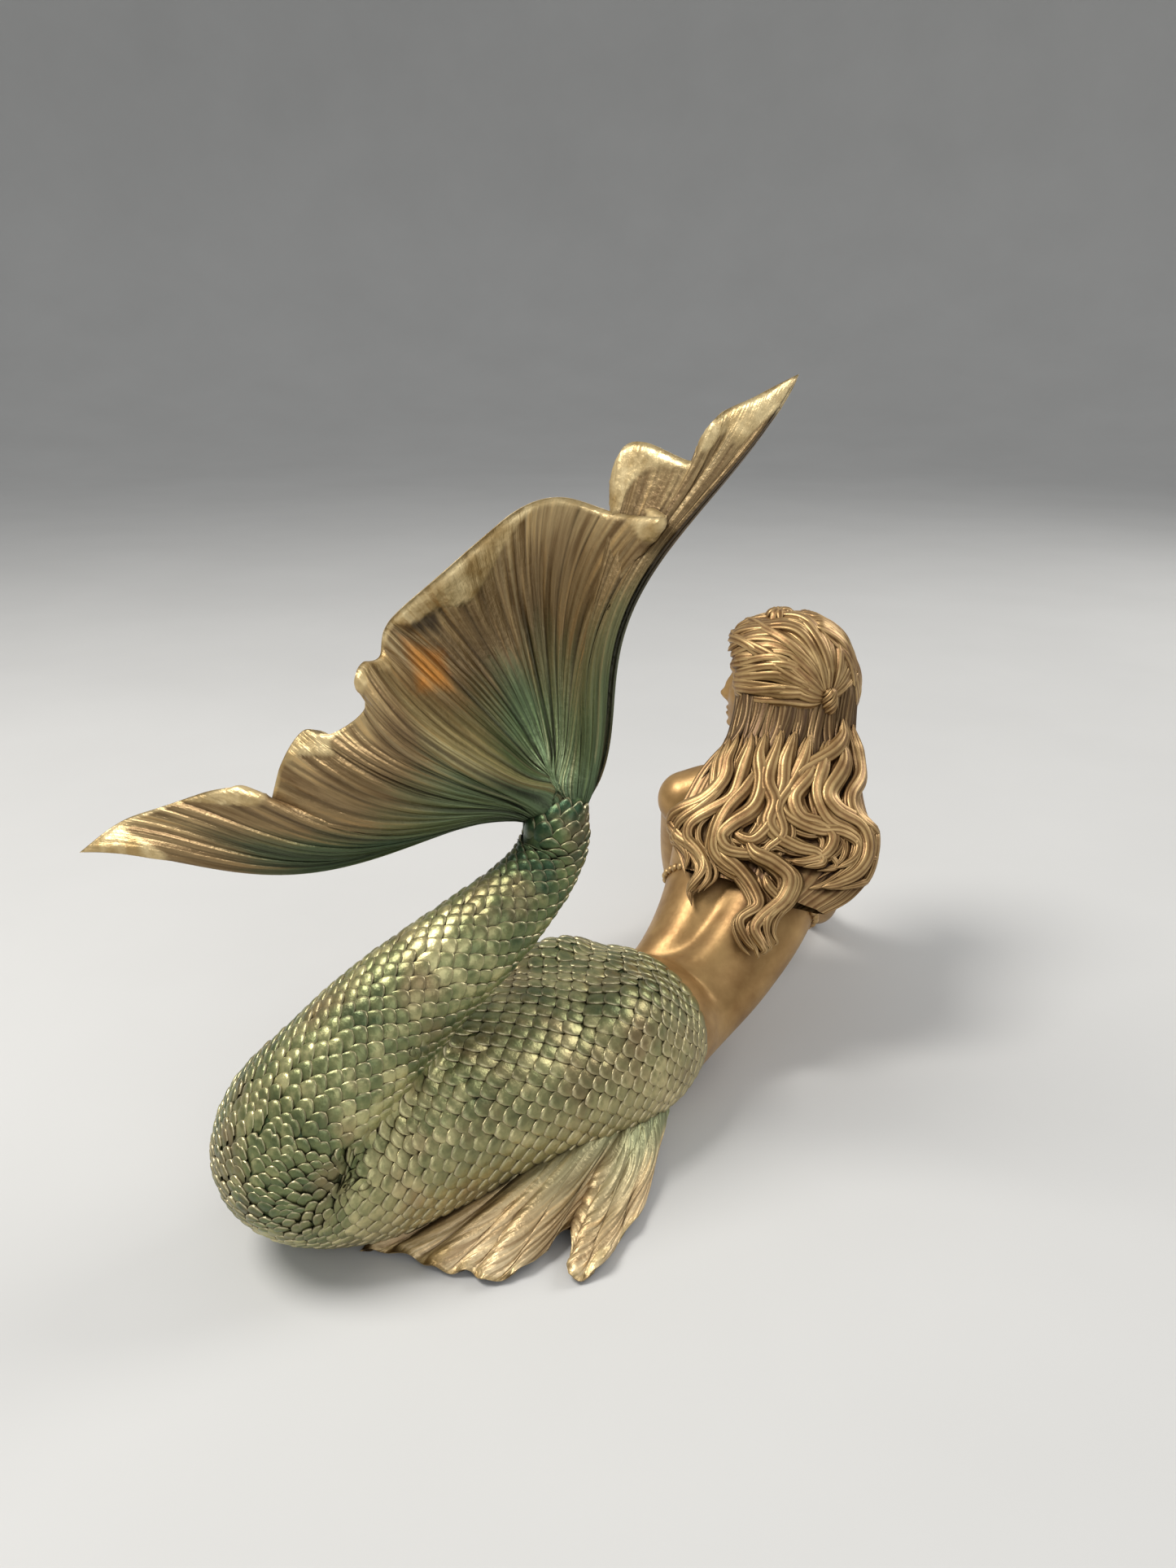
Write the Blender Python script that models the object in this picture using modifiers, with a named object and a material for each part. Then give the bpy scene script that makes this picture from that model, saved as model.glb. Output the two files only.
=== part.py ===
# A mermaid figurine, cast in one piece. She lies on her front, propped on her forearms, with her
# tail folded at the knee and the fluke fanned out above her hips.
# Places are in millimetres from the point where the folded knee touches the ground,
# +Y from the knee to the head, +X to her right, +Z up. The model itself is built in metres.
import math

import bmesh
import bpy
import numpy as np
from mathutils import Matrix, Vector

MM = 0.001
NODE_NAME = "mermaid"

# How finely the cast form is resolved
VOXEL_SIZE = 0.9
TRIANGLE_TARGET = 11300
SMOOTH_FACTOR = 0.5
SMOOTH_PASSES = 3
RING_SIDES = 32
STEPS_PER_SPAN = 6

# Tail from the waist over the thigh and the folded knee up to the fluke:
# x, y, z, half width, half height
TAIL_STATIONS = [
    (14.0, 102.0, 17.8, 21.4, 16.4),
    (14.0, 94.0, 18.7, 24.6, 18.9),
    (14.0, 82.0, 19.5, 27.5, 21.0),
    (13.0, 62.0, 20.0, 27.5, 21.5),
    (10.0, 36.0, 19.5, 24.0, 20.8),
    (6.5, 13.0, 18.5, 21.0, 19.3),
    (3.5, 0.0, 21.0, 18.5, 15.5),
    (4.0, 1.5, 30.0, 17.5, 14.5),
    (6.5, 10.0, 38.5, 15.5, 14.0),
    (9.0, 22.0, 48.0, 13.0, 13.5),
    (11.5, 33.0, 55.0, 11.5, 12.0),
    (13.5, 45.0, 61.0, 10.5, 10.5),
    (15.0, 56.5, 67.5, 8.8, 8.8),
    (16.0, 64.0, 74.5, 7.8, 7.8),
    (16.0, 66.5, 81.0, 7.8, 7.2),
    (16.0, 69.0, 87.5, 6.5, 3.8),
    (16.0, 72.5, 95.0, 3.5, 1.2),
]

# Torso from the pelvis to the base of the skull:
# x, y, z, half width, half depth, turn of the body about the vertical in degrees
TORSO_STATIONS = [
    (14.0, 86.0, 19.5, 24.0, 18.0, 0.0),
    (14.0, 99.0, 17.0, 22.0, 16.5, 2.0),
    (14.0, 112.0, 16.5, 18.5, 14.0, 6.0),
    (14.0, 126.0, 23.5, 19.5, 14.0, 12.0),
    (12.5, 140.0, 34.0, 21.5, 14.5, 20.0),
    (8.0, 153.0, 45.0, 23.0, 14.0, 28.0),
    (3.0, 161.0, 56.0, 22.0, 11.5, 34.0),
    (1.0, 167.0, 65.0, 10.0, 8.5, 40.0),
    (-1.5, 171.0, 73.0, 6.8, 6.8, 45.0),
    (-2.5, 175.0, 83.0, 6.8, 6.8, 50.0),
]
BUTTOCK_PLACES = [(26.0, 76.0, 25.0), (2.0, 77.0, 26.0)]
BUTTOCK_RADII = (13.5, 23.0, 16.0)

# Furrow of the spine and the muscles beside it, where the back is widest turned up
SPINE_DEPTH = 1.6
SPINE_SPREAD = 9.0
BACK_MUSCLE_HEIGHT = 0.7
BACK_MUSCLE_ANGLE = 22.0
BACK_MUSCLE_SPREAD = 13.0
BACK_MIDDLE_STATION = 3.6
BACK_LENGTH_STATIONS = 2.2

# Bead strap around the ribs: its place between the torso stations and its thickness
STRAP_STATION = 4.2
STRAP_RADIUS = 1.3
STRAP_SIDES = 8

# Arms from shoulder to wrist, and the yoke from shoulder to shoulder: x, y, z and half thickness
RIGHT_ARM = [
    (19.0, 175.0, 49.0, 7.5),
    (12.0, 189.0, 30.0, 6.2),
    (1.0, 202.0, 8.5, 5.4),
    (-12.0, 210.0, 6.5, 5.2),
    (-27.0, 216.5, 5.2, 3.3),
    (-31.0, 217.2, 4.9, 3.2),
]
LEFT_ARM = [
    (-15.5, 151.5, 56.5, 7.5),
    (-24.5, 161.0, 32.0, 6.2),
    (-31.0, 175.0, 8.5, 5.4),
    (-36.0, 188.0, 6.5, 5.2),
    (-38.0, 203.0, 8.5, 3.3),
    (-38.2, 207.0, 9.4, 3.2),
]
SHOULDER_LINE = [
    (-15.5, 151.5, 56.5, 8.5),
    (-9.0, 157.0, 59.0, 8.6),
    (1.0, 163.5, 60.0, 8.6),
    (10.5, 170.0, 56.0, 8.6),
    (18.5, 175.0, 50.0, 8.2),
]
SHOULDER_RADIUS = 8.5

# Hands: the wrist, the way the fingers point, the way the palm spreads and the side of the thumb
RIGHT_HAND = ((-28.0, 216.8, 5.0), (-0.99, 0.10, -0.06), (0.10, 0.99, 0.0), -1)
LEFT_HAND = ((-38.0, 204.0, 9.0), (0.04, 0.99, -0.10), (0.99, -0.04, 0.0), 1)
PALM_PLACE = 7.0
PALM_RADII = (6.8, 4.7, 2.4)
KNUCKLE_PLACE = 11.0
FINGER_SPACING = 2.3
FINGER_LENGTHS = (8.6, 10.2, 10.6, 9.4)
FINGER_RADII = (1.5, 1.4, 1.0)
FINGER_DROOP = 0.9
THUMB_START = (3.0, 3.4)
THUMB_END = (10.5, 7.6)
THUMB_RADII = (1.8, 1.6, 1.2)

# Bust under two scallop shells whose ribs fan out from a point below
BUST_PLACES = [(14.0, 166.0, 36.0), (-9.0, 155.0, 38.0)]
BUST_RADIUS = 9.5
SHELL_PROUD = 1.2
SHELL_RIBS = 7
SHELL_HINGE = 1.2

# Head: middle of the skull, the way it faces, and the way the dressed hair points
HEAD_CENTRE = (-4.0, 177.0, 89.5)
FACE_AZIMUTH = 199.0
FACE_PITCH = 5.0
HAIR_AZIMUTH = 192.0
HAIR_PITCH = -4.0

# Head sections: height above the middle, reach to the front, reach to the back, half width
HEAD_SECTIONS = [
    (-17.0, 8.5, 1.0, 3.0),
    (-15.5, 11.3, 2.0, 5.2),
    (-12.5, 12.3, 5.0, 7.4),
    (-8.5, 12.7, 9.0, 9.2),
    (-4.0, 12.9, 11.5, 10.5),
    (0.0, 12.6, 13.0, 11.1),
    (4.0, 13.2, 14.0, 11.5),
    (8.5, 12.6, 13.6, 11.3),
    (12.5, 10.2, 11.5, 9.6),
    (15.3, 6.6, 7.8, 6.6),
    (16.6, 2.4, 3.0, 2.6),
]

# Face relief: across, height, spread across, spread up and how far it stands out.
# The eyes lie half way up the head, the foot of the nose half way from eyes to chin
# and the mouth a third of the way from nose to chin.
FACE_RELIEF = [
    (0.0, -3.0, 1.1, 3.6, 1.9),
    (0.0, -6.4, 1.5, 1.3, 2.8),
    (1.5, -6.9, 0.9, 0.9, 0.8),
    (4.7, 0.2, 2.6, 1.8, -1.7),
    (4.6, 0.1, 1.6, 1.0, 0.9),
    (4.6, 3.2, 3.4, 1.1, 0.7),
    (6.2, -5.0, 2.6, 2.4, 0.7),
    (0.0, -10.2, 2.3, 0.75, 1.0),
    (0.0, -12.0, 1.9, 0.85, 1.1),
    (0.0, -11.1, 2.6, 0.3, -0.5),
    (0.0, -15.2, 2.4, 1.5, 1.3),
]

# Hair on the skull: rounded forms set back and up from the face, each with its shift
# from the middle of the head (front, across, up) and its radii
HAIR_CAP_SHIFT = (-5.0, 0.0, 3.0)
HAIR_FORMS = [
    ((-5.0, 0.0, 3.0), (17.5, 16.5, 17.5)),
    ((-1.5, 0.0, 8.0), (15.8, 14.5, 12.0)),
    ((-11.0, -4.5, -1.0), (11.5, 11.0, 16.0)),
]
HAIR_TUFT = (-2.0, 0.0, 19.0)
HAIR_TUFT_RADIUS = 4.0
HAIR_KNOT = (-16.5, -7.5, -4.0)
HAIR_KNOT_RADIUS = 3.0

# Swept strands from the brow to the knot: their turn about the line from face to nape
BROW_STRAND_TURNS = [-100, -80, -60, -40, -20, 0, 20, 40, 60, 80, 100]
BROW_OPENING = 44.0
TEMPLE_OPENING = 56.0
BROW_STRAND_RADIUS = 1.9
BROW_STRAND_STEPS = 20

# Hair down the back: x, y, z, half width, half thickness and turn about the vertical
HAIR_STATIONS = [
    (4.0, 178.0, 91.0, 17.0, 12.0, 45.0),
    (9.0, 169.5, 79.0, 17.5, 8.0, 45.0),
    (12.5, 163.0, 71.5, 20.0, 7.0, 42.0),
    (15.5, 154.5, 63.0, 25.0, 6.0, 36.0),
    (19.0, 147.0, 55.5, 28.0, 5.2, 33.0),
    (21.0, 140.5, 49.5, 26.0, 4.2, 30.0),
    (22.5, 134.0, 44.5, 20.0, 2.6, 28.0),
    (24.0, 127.0, 39.0, 14.0, 2.0, 26.0),
    (26.0, 119.0, 33.0, 8.0, 1.5, 24.0),
]
HAIR_BODY_STATIONS = 7
HAIR_SLOPE_STEP = 0.02
CURTAIN_RIBS = 13
CURTAIN_RIB_HEIGHT = 0.5

# Locks on the hair: half width, then the way of the lock over the hair,
# across from minus one to one and down from zero at the crown to one at the tips
LOCKS = [
    (2.3, [(-0.85, 0.20), (-0.74, 0.31), (-0.64, 0.37), (-0.74, 0.43), (-0.95, 0.48), (-1.00, 0.56),
           (-0.91, 0.62), (-0.74, 0.68), (-0.70, 0.75), (-0.96, 0.83), (-1.30, 0.88)]),
    (2.2, [(-0.66, 0.20), (-0.55, 0.29), (-0.47, 0.37), (-0.48, 0.42), (-0.64, 0.47), (-0.80, 0.56),
           (-0.82, 0.64), (-0.70, 0.70), (-0.63, 0.77), (-0.83, 0.84)]),
    (2.5, [(-0.46, 0.20), (-0.40, 0.28), (-0.22, 0.36), (-0.21, 0.44), (-0.38, 0.52), (-0.46, 0.59),
           (-0.35, 0.64), (-0.08, 0.62), (0.08, 0.57), (0.22, 0.58)]),
    (2.5, [(-0.24, 0.18), (-0.21, 0.28), (-0.15, 0.36), (-0.02, 0.42), (-0.03, 0.49), (0.08, 0.53),
           (0.29, 0.55), (0.48, 0.55), (0.57, 0.58), (0.43, 0.62)]),
    (2.4, [(0.72, 0.10), (0.73, 0.15), (0.57, 0.22), (0.20, 0.30), (0.07, 0.38), (0.10, 0.44), (0.26, 0.47),
           (0.45, 0.48), (0.64, 0.47), (0.83, 0.49), (0.84, 0.55), (0.74, 0.63)]),
    (2.4, [(0.92, 0.10), (0.98, 0.16), (0.98, 0.25), (0.81, 0.33), (0.83, 0.41), (1.00, 0.44),
           (1.03, 0.49), (0.93, 0.52)]),
    (2.6, [(0.70, 0.16), (0.72, 0.24), (0.54, 0.34), (0.62, 0.40), (0.84, 0.43), (0.93, 0.49),
           (0.91, 0.56), (0.83, 0.63), (0.73, 0.67)]),
    (2.4, [(-0.22, 0.56), (-0.08, 0.62), (0.15, 0.64), (0.38, 0.68), (0.49, 0.77), (0.43, 0.87),
           (0.50, 0.92), (0.93, 0.96), (1.21, 0.98)]),
    (2.1, [(-0.52, 0.62), (-0.40, 0.67), (-0.18, 0.71), (0.08, 0.77), (0.25, 0.83), (0.09, 0.90),
           (0.40, 0.95), (0.92, 0.98)]),
    (2.2, [(-0.34, 0.30), (-0.36, 0.38), (-0.47, 0.46), (-0.52, 0.60), (-0.49, 0.68), (-0.28, 0.72),
           (-0.01, 0.73)]),
    (2.3, [(0.34, 0.24), (0.29, 0.31), (0.17, 0.39), (0.25, 0.45), (0.44, 0.46), (0.59, 0.49),
           (0.56, 0.55), (0.40, 0.60), (0.28, 0.61)]),
    (1.6, [(0.10, 0.70), (0.24, 0.74), (0.48, 0.78), (0.53, 0.86), (0.70, 0.91), (1.05, 0.95)]),
    (2.1, [(-0.94, 0.22), (-0.79, 0.31), (-0.65, 0.39), (-0.76, 0.46), (-0.92, 0.56), (-0.96, 0.63),
           (-0.89, 0.70), (-0.98, 0.76)]),
    (2.3, [(0.50, 0.18), (0.44, 0.27), (0.41, 0.35), (0.52, 0.44), (0.72, 0.46), (0.83, 0.48),
           (0.83, 0.53), (0.72, 0.58)]),
    (2.4, [(-0.04, 0.18), (-0.06, 0.28), (0.02, 0.36), (-0.01, 0.44), (-0.05, 0.51), (-0.15, 0.57),
           (-0.30, 0.56), (-0.27, 0.52)]),
    (2.2, [(0.20, 0.18), (0.16, 0.28), (0.10, 0.36), (0.02, 0.44), (0.12, 0.52), (0.02, 0.60),
           (0.18, 0.67)]),
]
LOCK_LIFT = 1.2
LOCK_TAPER = 0.75
LOCK_STEPS = 5
LOCK_SIDES = 10

# Fluke: the plain fan without its ruffles, from the low left tip to the high right tip:
# x, y, z of the rim, then how the middle of the ray swings right and lifts
FLUKE_ROOT = (14.8, 68.5, 86.0)
FLUKE_ROOT_HALF_WIDTH = 6.5
FLUKE_FAN = [
    (-69.0, -6.0, 72.0, 0.0, -9.0),
    (-38.0, 21.0, 87.0, 0.0, -3.0),
    (-21.0, 36.0, 107.0, 0.0, 2.0),
    (-20.0, 50.0, 124.0, 0.0, 0.0),
    (-4.0, 73.0, 147.0, 0.0, 0.0),
    (20.0, 84.0, 152.0, -1.5, 0.0),
    (33.0, 91.0, 162.0, -7.0, 0.0),
    (49.0, 103.0, 177.5, -11.5, 0.0),
]
# How far the middle of the ray bows back, evenly spread over the fan, with a sharp crest
# between the low lobe and the hollow above it
FLUKE_BOW = [-4.0, -6.0, -8.0, -9.5, -11.0, -11.5, 6.0, 12.5, 12.5, 9.0, 4.5, 2.2, 1.0, 0.0, -1.0]
# The ruffled rim, evenly spread over the same fan
FLUKE_RIM = [
    (-69.0, -6.0, 72.0),
    (-63.0, 2.0, 79.0),
    (-52.0, 11.0, 84.5),
    (-40.0, 19.0, 89.0),
    (-35.0, 23.0, 82.0),
    (-31.0, 26.0, 94.5),
    (-27.5, 30.5, 102.5),
    (-20.0, 33.5, 103.0),
    (-13.0, 37.5, 109.5),
    (-12.0, 35.0, 117.0),
    (-14.0, 38.0, 119.0),
    (-20.5, 47.0, 117.5),
    (-21.5, 49.5, 123.0),
    (-19.5, 52.0, 127.0),
    (-15.0, 58.5, 133.5),
    (-9.5, 68.5, 142.5),
    (-4.5, 76.0, 149.0),
    (2.0, 82.5, 151.5),
    (15.0, 86.0, 149.0),
    (33.5, 81.0, 150.0),
    (22.0, 88.0, 151.5),
    (13.0, 89.0, 155.5),
    (13.0, 90.5, 162.0),
    (19.0, 91.5, 163.5),
    (33.0, 90.0, 160.5),
    (33.5, 93.0, 164.5),
    (36.5, 93.5, 169.5),
    (42.0, 97.5, 173.0),
    (49.5, 102.5, 177.5),
]
RUFFLE_POWER = 2.6
FLUKE_FRONT = (0.68, -0.73, 0.0)
FLUKE_RIGHT = (0.73, 0.68, 0.0)
FLUKE_THICKNESS = (3.4, 2.0)
# The hub where the fan grows out of the stem: its swell and how far along the rays it reaches
HUB_SWELL = 4.2
HUB_REACH = 0.11
FLUKE_RIBS = 22
FLUKE_RIB_HEIGHT = 0.45
# Slow ripples of the fan: waves across, waves from root to rim, phase in turns, height
FLUKE_RIPPLES = [
    (4.6, 0.7, 0.10, 0.36),
    (7.3, -0.9, 0.45, 0.30),
    (9.8, 0.5, 0.80, 0.24),
    (2.9, 1.3, 0.30, 0.30),
]
RAY_STEPS = 28

# Side fin on her right hip: root, and tips on the ground with the arch of each ray and how far
# the ray swings outward. The other fin mirrors it across the tail.
FIN_ROOT = (33.5, 76.0, 12.0)
FIN_ROOT_HALF_SPREAD = (2.0, 6.0, 4.5)
FIN_TIPS = [
    (16.5, 6.0, 1.5, 1.0, 4.5),
    (20.5, 9.5, 1.5, 2.0, 4.0),
    (26.0, 12.5, 1.5, 3.0, 3.5),
    (31.0, 13.5, 1.5, 4.0, 3.0),
    (35.5, 15.5, 1.5, 4.0, 2.0),
    (38.5, 18.5, 1.5, 4.5, 1.5),
    (42.0, 18.5, 1.5, 4.5, 1.0),
    (45.0, 23.0, 1.5, 4.5, 0.5),
    (45.5, 30.0, 2.0, 4.0, 0.0),
    (45.0, 39.0, 3.0, 3.0, 0.0),
    (47.0, 40.0, 3.5, 2.5, 0.0),
    (52.5, 33.0, 2.0, 2.5, 0.0),
    (55.5, 32.0, 1.5, 2.0, 0.0),
    (57.0, 36.0, 1.5, 1.5, 0.0),
    (55.0, 45.0, 1.8, 1.0, 0.0),
    (51.5, 56.0, 2.0, 0.5, 0.0),
    (43.0, 70.0, 3.0, 0.0, 0.0),
    (37.0, 80.0, 5.0, 0.0, 0.0),
]
FIN_THICKNESS = (6.0, 2.2)
FIN_RIBS = 12
FIN_RIB_HEIGHT = 0.5
FIN_STEPS_PER_SPAN = 4
FIN_MIDLINE_X = 11.0

# Colour and finish
BRONZE = (0.32, 0.22, 0.10, 1.0)
BRONZE_ROUGHNESS = 0.42
BRONZE_METALLIC = 0.6


def clear_scene():
    for obj in list(bpy.data.objects):
        bpy.data.objects.remove(obj, do_unlink=True)


def make_collection(name):
    collection = bpy.data.collections.new(name)
    bpy.context.scene.collection.children.link(collection)
    return collection


def make_material(name, colour, roughness, metallic):
    material = bpy.data.materials.new(name)
    material.use_nodes = True
    shader = material.node_tree.nodes["Principled BSDF"]
    shader.inputs["Base Color"].default_value = colour
    shader.inputs["Roughness"].default_value = roughness
    shader.inputs["Metallic"].default_value = metallic
    return material


# A smooth curve through rows of numbers, read at places counted in rows
def curve_at(rows, places):
    rows = np.array(rows, dtype=float)
    padded = np.vstack([2 * rows[0] - rows[1], rows, 2 * rows[-1] - rows[-2]])
    result = []
    for place in places:
        index = int(min(max(math.floor(place), 0), len(rows) - 2))
        t = place - index
        before, start, end, after = padded[index:index + 4]
        result.append(0.5 * (2 * start + (end - before) * t
                             + (2 * before - 5 * start + 4 * end - after) * t ** 2
                             + (3 * start - before - 3 * end + after) * t ** 3))
    return np.array(result)


def smooth_rows(rows, steps):
    count = (len(rows) - 1) * steps
    return curve_at(rows, [index / steps for index in range(count + 1)])


def unit(vector):
    return vector / max(np.linalg.norm(vector), 1e-9)


# Side and outward directions of a section: the side stays level and follows the turn
def section_axes(tangent, turn):
    tangent = unit(tangent)
    level = np.array([math.cos(math.radians(turn)), math.sin(math.radians(turn)), 0.0])
    side = unit(level - tangent * np.dot(level, tangent))
    return side, np.cross(side, tangent)


def rings_along(rows, widths, heights, turns, sides):
    tangents = np.gradient(rows[:, :3], axis=0)
    rings = []
    for row, width, height, turn, tangent in zip(rows, widths, heights, turns, tangents):
        side, outward = section_axes(tangent, turn)
        ring = []
        for index in range(sides):
            angle = 2 * math.pi * index / sides
            ring.append(row[:3] + side * width * math.cos(angle) + outward * height * math.sin(angle))
        rings.append(ring)
    return np.array(rings)


# A closed skin over rings of points, capped at both ends
def add_rings(bm, rings):
    rows = [[bm.verts.new(Vector(point) * MM) for point in ring] for ring in rings]
    sides = len(rows[0])
    for lower, upper in zip(rows, rows[1:]):
        for index in range(sides):
            after = (index + 1) % sides
            bm.faces.new((lower[index], lower[after], upper[after], upper[index]))
    bm.faces.new(rows[0][::-1])
    bm.faces.new(rows[-1])


def add_tail(bm):
    rows = smooth_rows(TAIL_STATIONS, STEPS_PER_SPAN)
    add_rings(bm, rings_along(rows, rows[:, 3], rows[:, 4], np.zeros(len(rows)), RING_SIDES))


def gauss(value, middle, spread):
    return math.exp(-((value - middle) / spread) ** 2)


def add_torso(bm):
    rows = smooth_rows(TORSO_STATIONS, STEPS_PER_SPAN)
    rings = rings_along(rows, rows[:, 3], rows[:, 4], rows[:, 5], RING_SIDES)
    for number, ring in enumerate(rings):
        share = gauss(number / STEPS_PER_SPAN, BACK_MIDDLE_STATION, BACK_LENGTH_STATIONS)
        for index in range(RING_SIDES):
            aside = abs(360.0 * index / RING_SIDES - 90.0)
            relief = BACK_MUSCLE_HEIGHT * gauss(aside, BACK_MUSCLE_ANGLE, BACK_MUSCLE_SPREAD)
            relief -= SPINE_DEPTH * gauss(aside, 0.0, SPINE_SPREAD)
            ring[index] += unit(ring[index] - rows[number, :3]) * relief * share
    add_rings(bm, rings)


# A round bar along a row of points, each with its own half thickness
def add_limb(bm, rows, sides):
    add_rings(bm, rings_along(rows, rows[:, 3], rows[:, 3], np.zeros(len(rows)), sides))


def add_arm(bm, stations):
    add_limb(bm, smooth_rows(stations, STEPS_PER_SPAN), RING_SIDES // 2)
    add_ellipsoid(bm, stations[0][:3], (SHOULDER_RADIUS,) * 3)


def add_ellipsoid(bm, centre, radii, turn=0.0):
    place = Matrix.Translation(Vector(centre) * MM) @ Matrix.Rotation(math.radians(turn), 4, "Z")
    place = place @ Matrix.Diagonal((radii[0] * MM, radii[1] * MM, radii[2] * MM, 1.0))
    bmesh.ops.create_uvsphere(bm, u_segments=RING_SIDES, v_segments=RING_SIDES // 2, radius=1.0, matrix=place)


def add_hand(bm, wrist, direction, spread, thumb_side):
    wrist = np.array(wrist)
    direction = unit(np.array(direction))
    spread = unit(np.array(spread))
    normal = unit(np.cross(direction, spread))
    if normal[2] < 0:
        normal = -normal
    axes = Matrix([Vector(axis) for axis in (direction, spread, normal)]).transposed()
    place = Matrix.Translation(Vector(wrist + direction * PALM_PLACE) * MM) @ axes.to_4x4()
    place = place @ Matrix.Diagonal((*[radius * MM for radius in PALM_RADII], 1.0))
    bmesh.ops.create_uvsphere(bm, u_segments=RING_SIDES, v_segments=RING_SIDES // 2, radius=1.0, matrix=place)
    for number, length in enumerate(FINGER_LENGTHS):
        knuckle = wrist + direction * KNUCKLE_PLACE + spread * FINGER_SPACING * (number - 1.5) * -thumb_side
        tip = knuckle + direction * length - normal * FINGER_DROOP
        add_bar(bm, knuckle, tip, FINGER_RADII)
    start = wrist + direction * THUMB_START[0] + spread * THUMB_START[1] * thumb_side
    end = wrist + direction * THUMB_END[0] + spread * THUMB_END[1] * thumb_side
    add_bar(bm, start, end, THUMB_RADII)


# A straight tapering bar with three radii
def add_bar(bm, start, end, radii):
    middle = (start + end) / 2
    stations = [(*point, radius) for point, radius in zip((start, middle, end), radii)]
    add_limb(bm, np.array(stations), LOCK_SIDES)


# The bead strap is a thin hoop that follows one section of the torso
def add_strap(bm):
    places = [STRAP_STATION - HAIR_SLOPE_STEP, STRAP_STATION, STRAP_STATION + HAIR_SLOPE_STEP]
    rows = curve_at(TORSO_STATIONS, places)
    hoop = rings_along(rows, rows[:, 3], rows[:, 4], rows[:, 5], RING_SIDES * 2)[1]
    centre = rows[1, :3]
    normal = unit(rows[2, :3] - rows[0, :3])
    rings = []
    for point in hoop:
        outward = unit(point - centre)
        ring = []
        for index in range(STRAP_SIDES):
            angle = 2 * math.pi * index / STRAP_SIDES
            ring.append(point + STRAP_RADIUS * (outward * math.cos(angle) + normal * math.sin(angle)))
        rings.append(ring)
    rows = [[bm.verts.new(Vector(point) * MM) for point in ring] for ring in rings]
    for lower, upper in zip(rows, rows[1:] + rows[:1]):
        for index in range(STRAP_SIDES):
            after = (index + 1) % STRAP_SIDES
            bm.faces.new((lower[index], lower[after], upper[after], upper[index]))


# A breast under a ribbed shell whose ribs fan from its lower edge
def add_bust(bm, centre):
    start = len(bm.verts)
    add_ellipsoid(bm, centre, (BUST_RADIUS,) * 3, 0.0)
    bm.verts.ensure_lookup_table()
    middle = Vector(centre) * MM
    for vert in bm.verts[start:]:
        offset = vert.co - middle
        direction = offset.normalized()
        rib = 0.5 + 0.5 * math.cos(2 * SHELL_RIBS * math.atan2(direction.x, SHELL_HINGE - direction.z))
        vert.co = middle + offset * (1 + rib * SHELL_PROUD / BUST_RADIUS)


def axes_towards(azimuth, pitch):
    azimuth = math.radians(azimuth)
    pitch = math.radians(pitch)
    flat = np.array([math.cos(azimuth), math.sin(azimuth), 0.0])
    front = flat * math.cos(pitch) + np.array([0.0, 0.0, math.sin(pitch)])
    across = np.array([-math.sin(azimuth), math.cos(azimuth), 0.0])
    return np.array([front, across, np.cross(front, across)])


# A place from the middle of the head: reach to the front, across and up
def place_on_head(front_reach, across_reach, height):
    place = np.array([front_reach, across_reach, height])
    return np.array(HEAD_CENTRE) + place @ axes_towards(FACE_AZIMUTH, FACE_PITCH)


def place_in_hair(front_reach, across_reach, height):
    place = np.array([front_reach, across_reach, height])
    return np.array(HEAD_CENTRE) + place @ axes_towards(HAIR_AZIMUTH, HAIR_PITCH)


def face_relief(across, height):
    total = 0.0
    for middle, level, spread_across, spread_up, proud in FACE_RELIEF:
        lateral = (abs(across) - middle) / spread_across
        vertical = (height - level) / spread_up
        total += proud * math.exp(-lateral ** 2 - vertical ** 2)
    return total


def add_head(bm):
    rings = []
    for height, front_reach, back_reach, half_width in smooth_rows(HEAD_SECTIONS, STEPS_PER_SPAN):
        ring = []
        for index in range(RING_SIDES * 2):
            angle = math.pi * index / RING_SIDES
            reach = front_reach if math.cos(angle) > 0 else back_reach
            forward = reach * math.cos(angle)
            across = half_width * math.sin(angle)
            if math.cos(angle) > 0:
                forward += face_relief(across, height) * math.cos(angle) ** 0.5
            ring.append(place_on_head(forward, across, height))
        rings.append(ring)
    add_rings(bm, np.array(rings))


def add_hair_cap(bm):
    for shift, radii in HAIR_FORMS:
        add_ellipsoid(bm, place_in_hair(*shift), radii, HAIR_AZIMUTH)
    add_ellipsoid(bm, place_in_hair(*HAIR_TUFT), (HAIR_TUFT_RADIUS,) * 3)
    add_ellipsoid(bm, place_in_hair(*HAIR_KNOT), (HAIR_KNOT_RADIUS,) * 3)


# The outermost point of the hair forms in one direction from the middle of the cap
def cap_point(direction):
    middle = np.array(HAIR_CAP_SHIFT)
    reach = 0.0
    for shift, radii in HAIR_FORMS:
        start = (middle - np.array(shift)) / np.array(radii)
        step = direction / np.array(radii)
        square = np.dot(step, step)
        slope = np.dot(start, step)
        inside = slope ** 2 - square * (np.dot(start, start) - 1)
        if inside > 0:
            reach = max(reach, (math.sqrt(inside) - slope) / square)
    return place_in_hair(*(middle + direction * reach))


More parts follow.
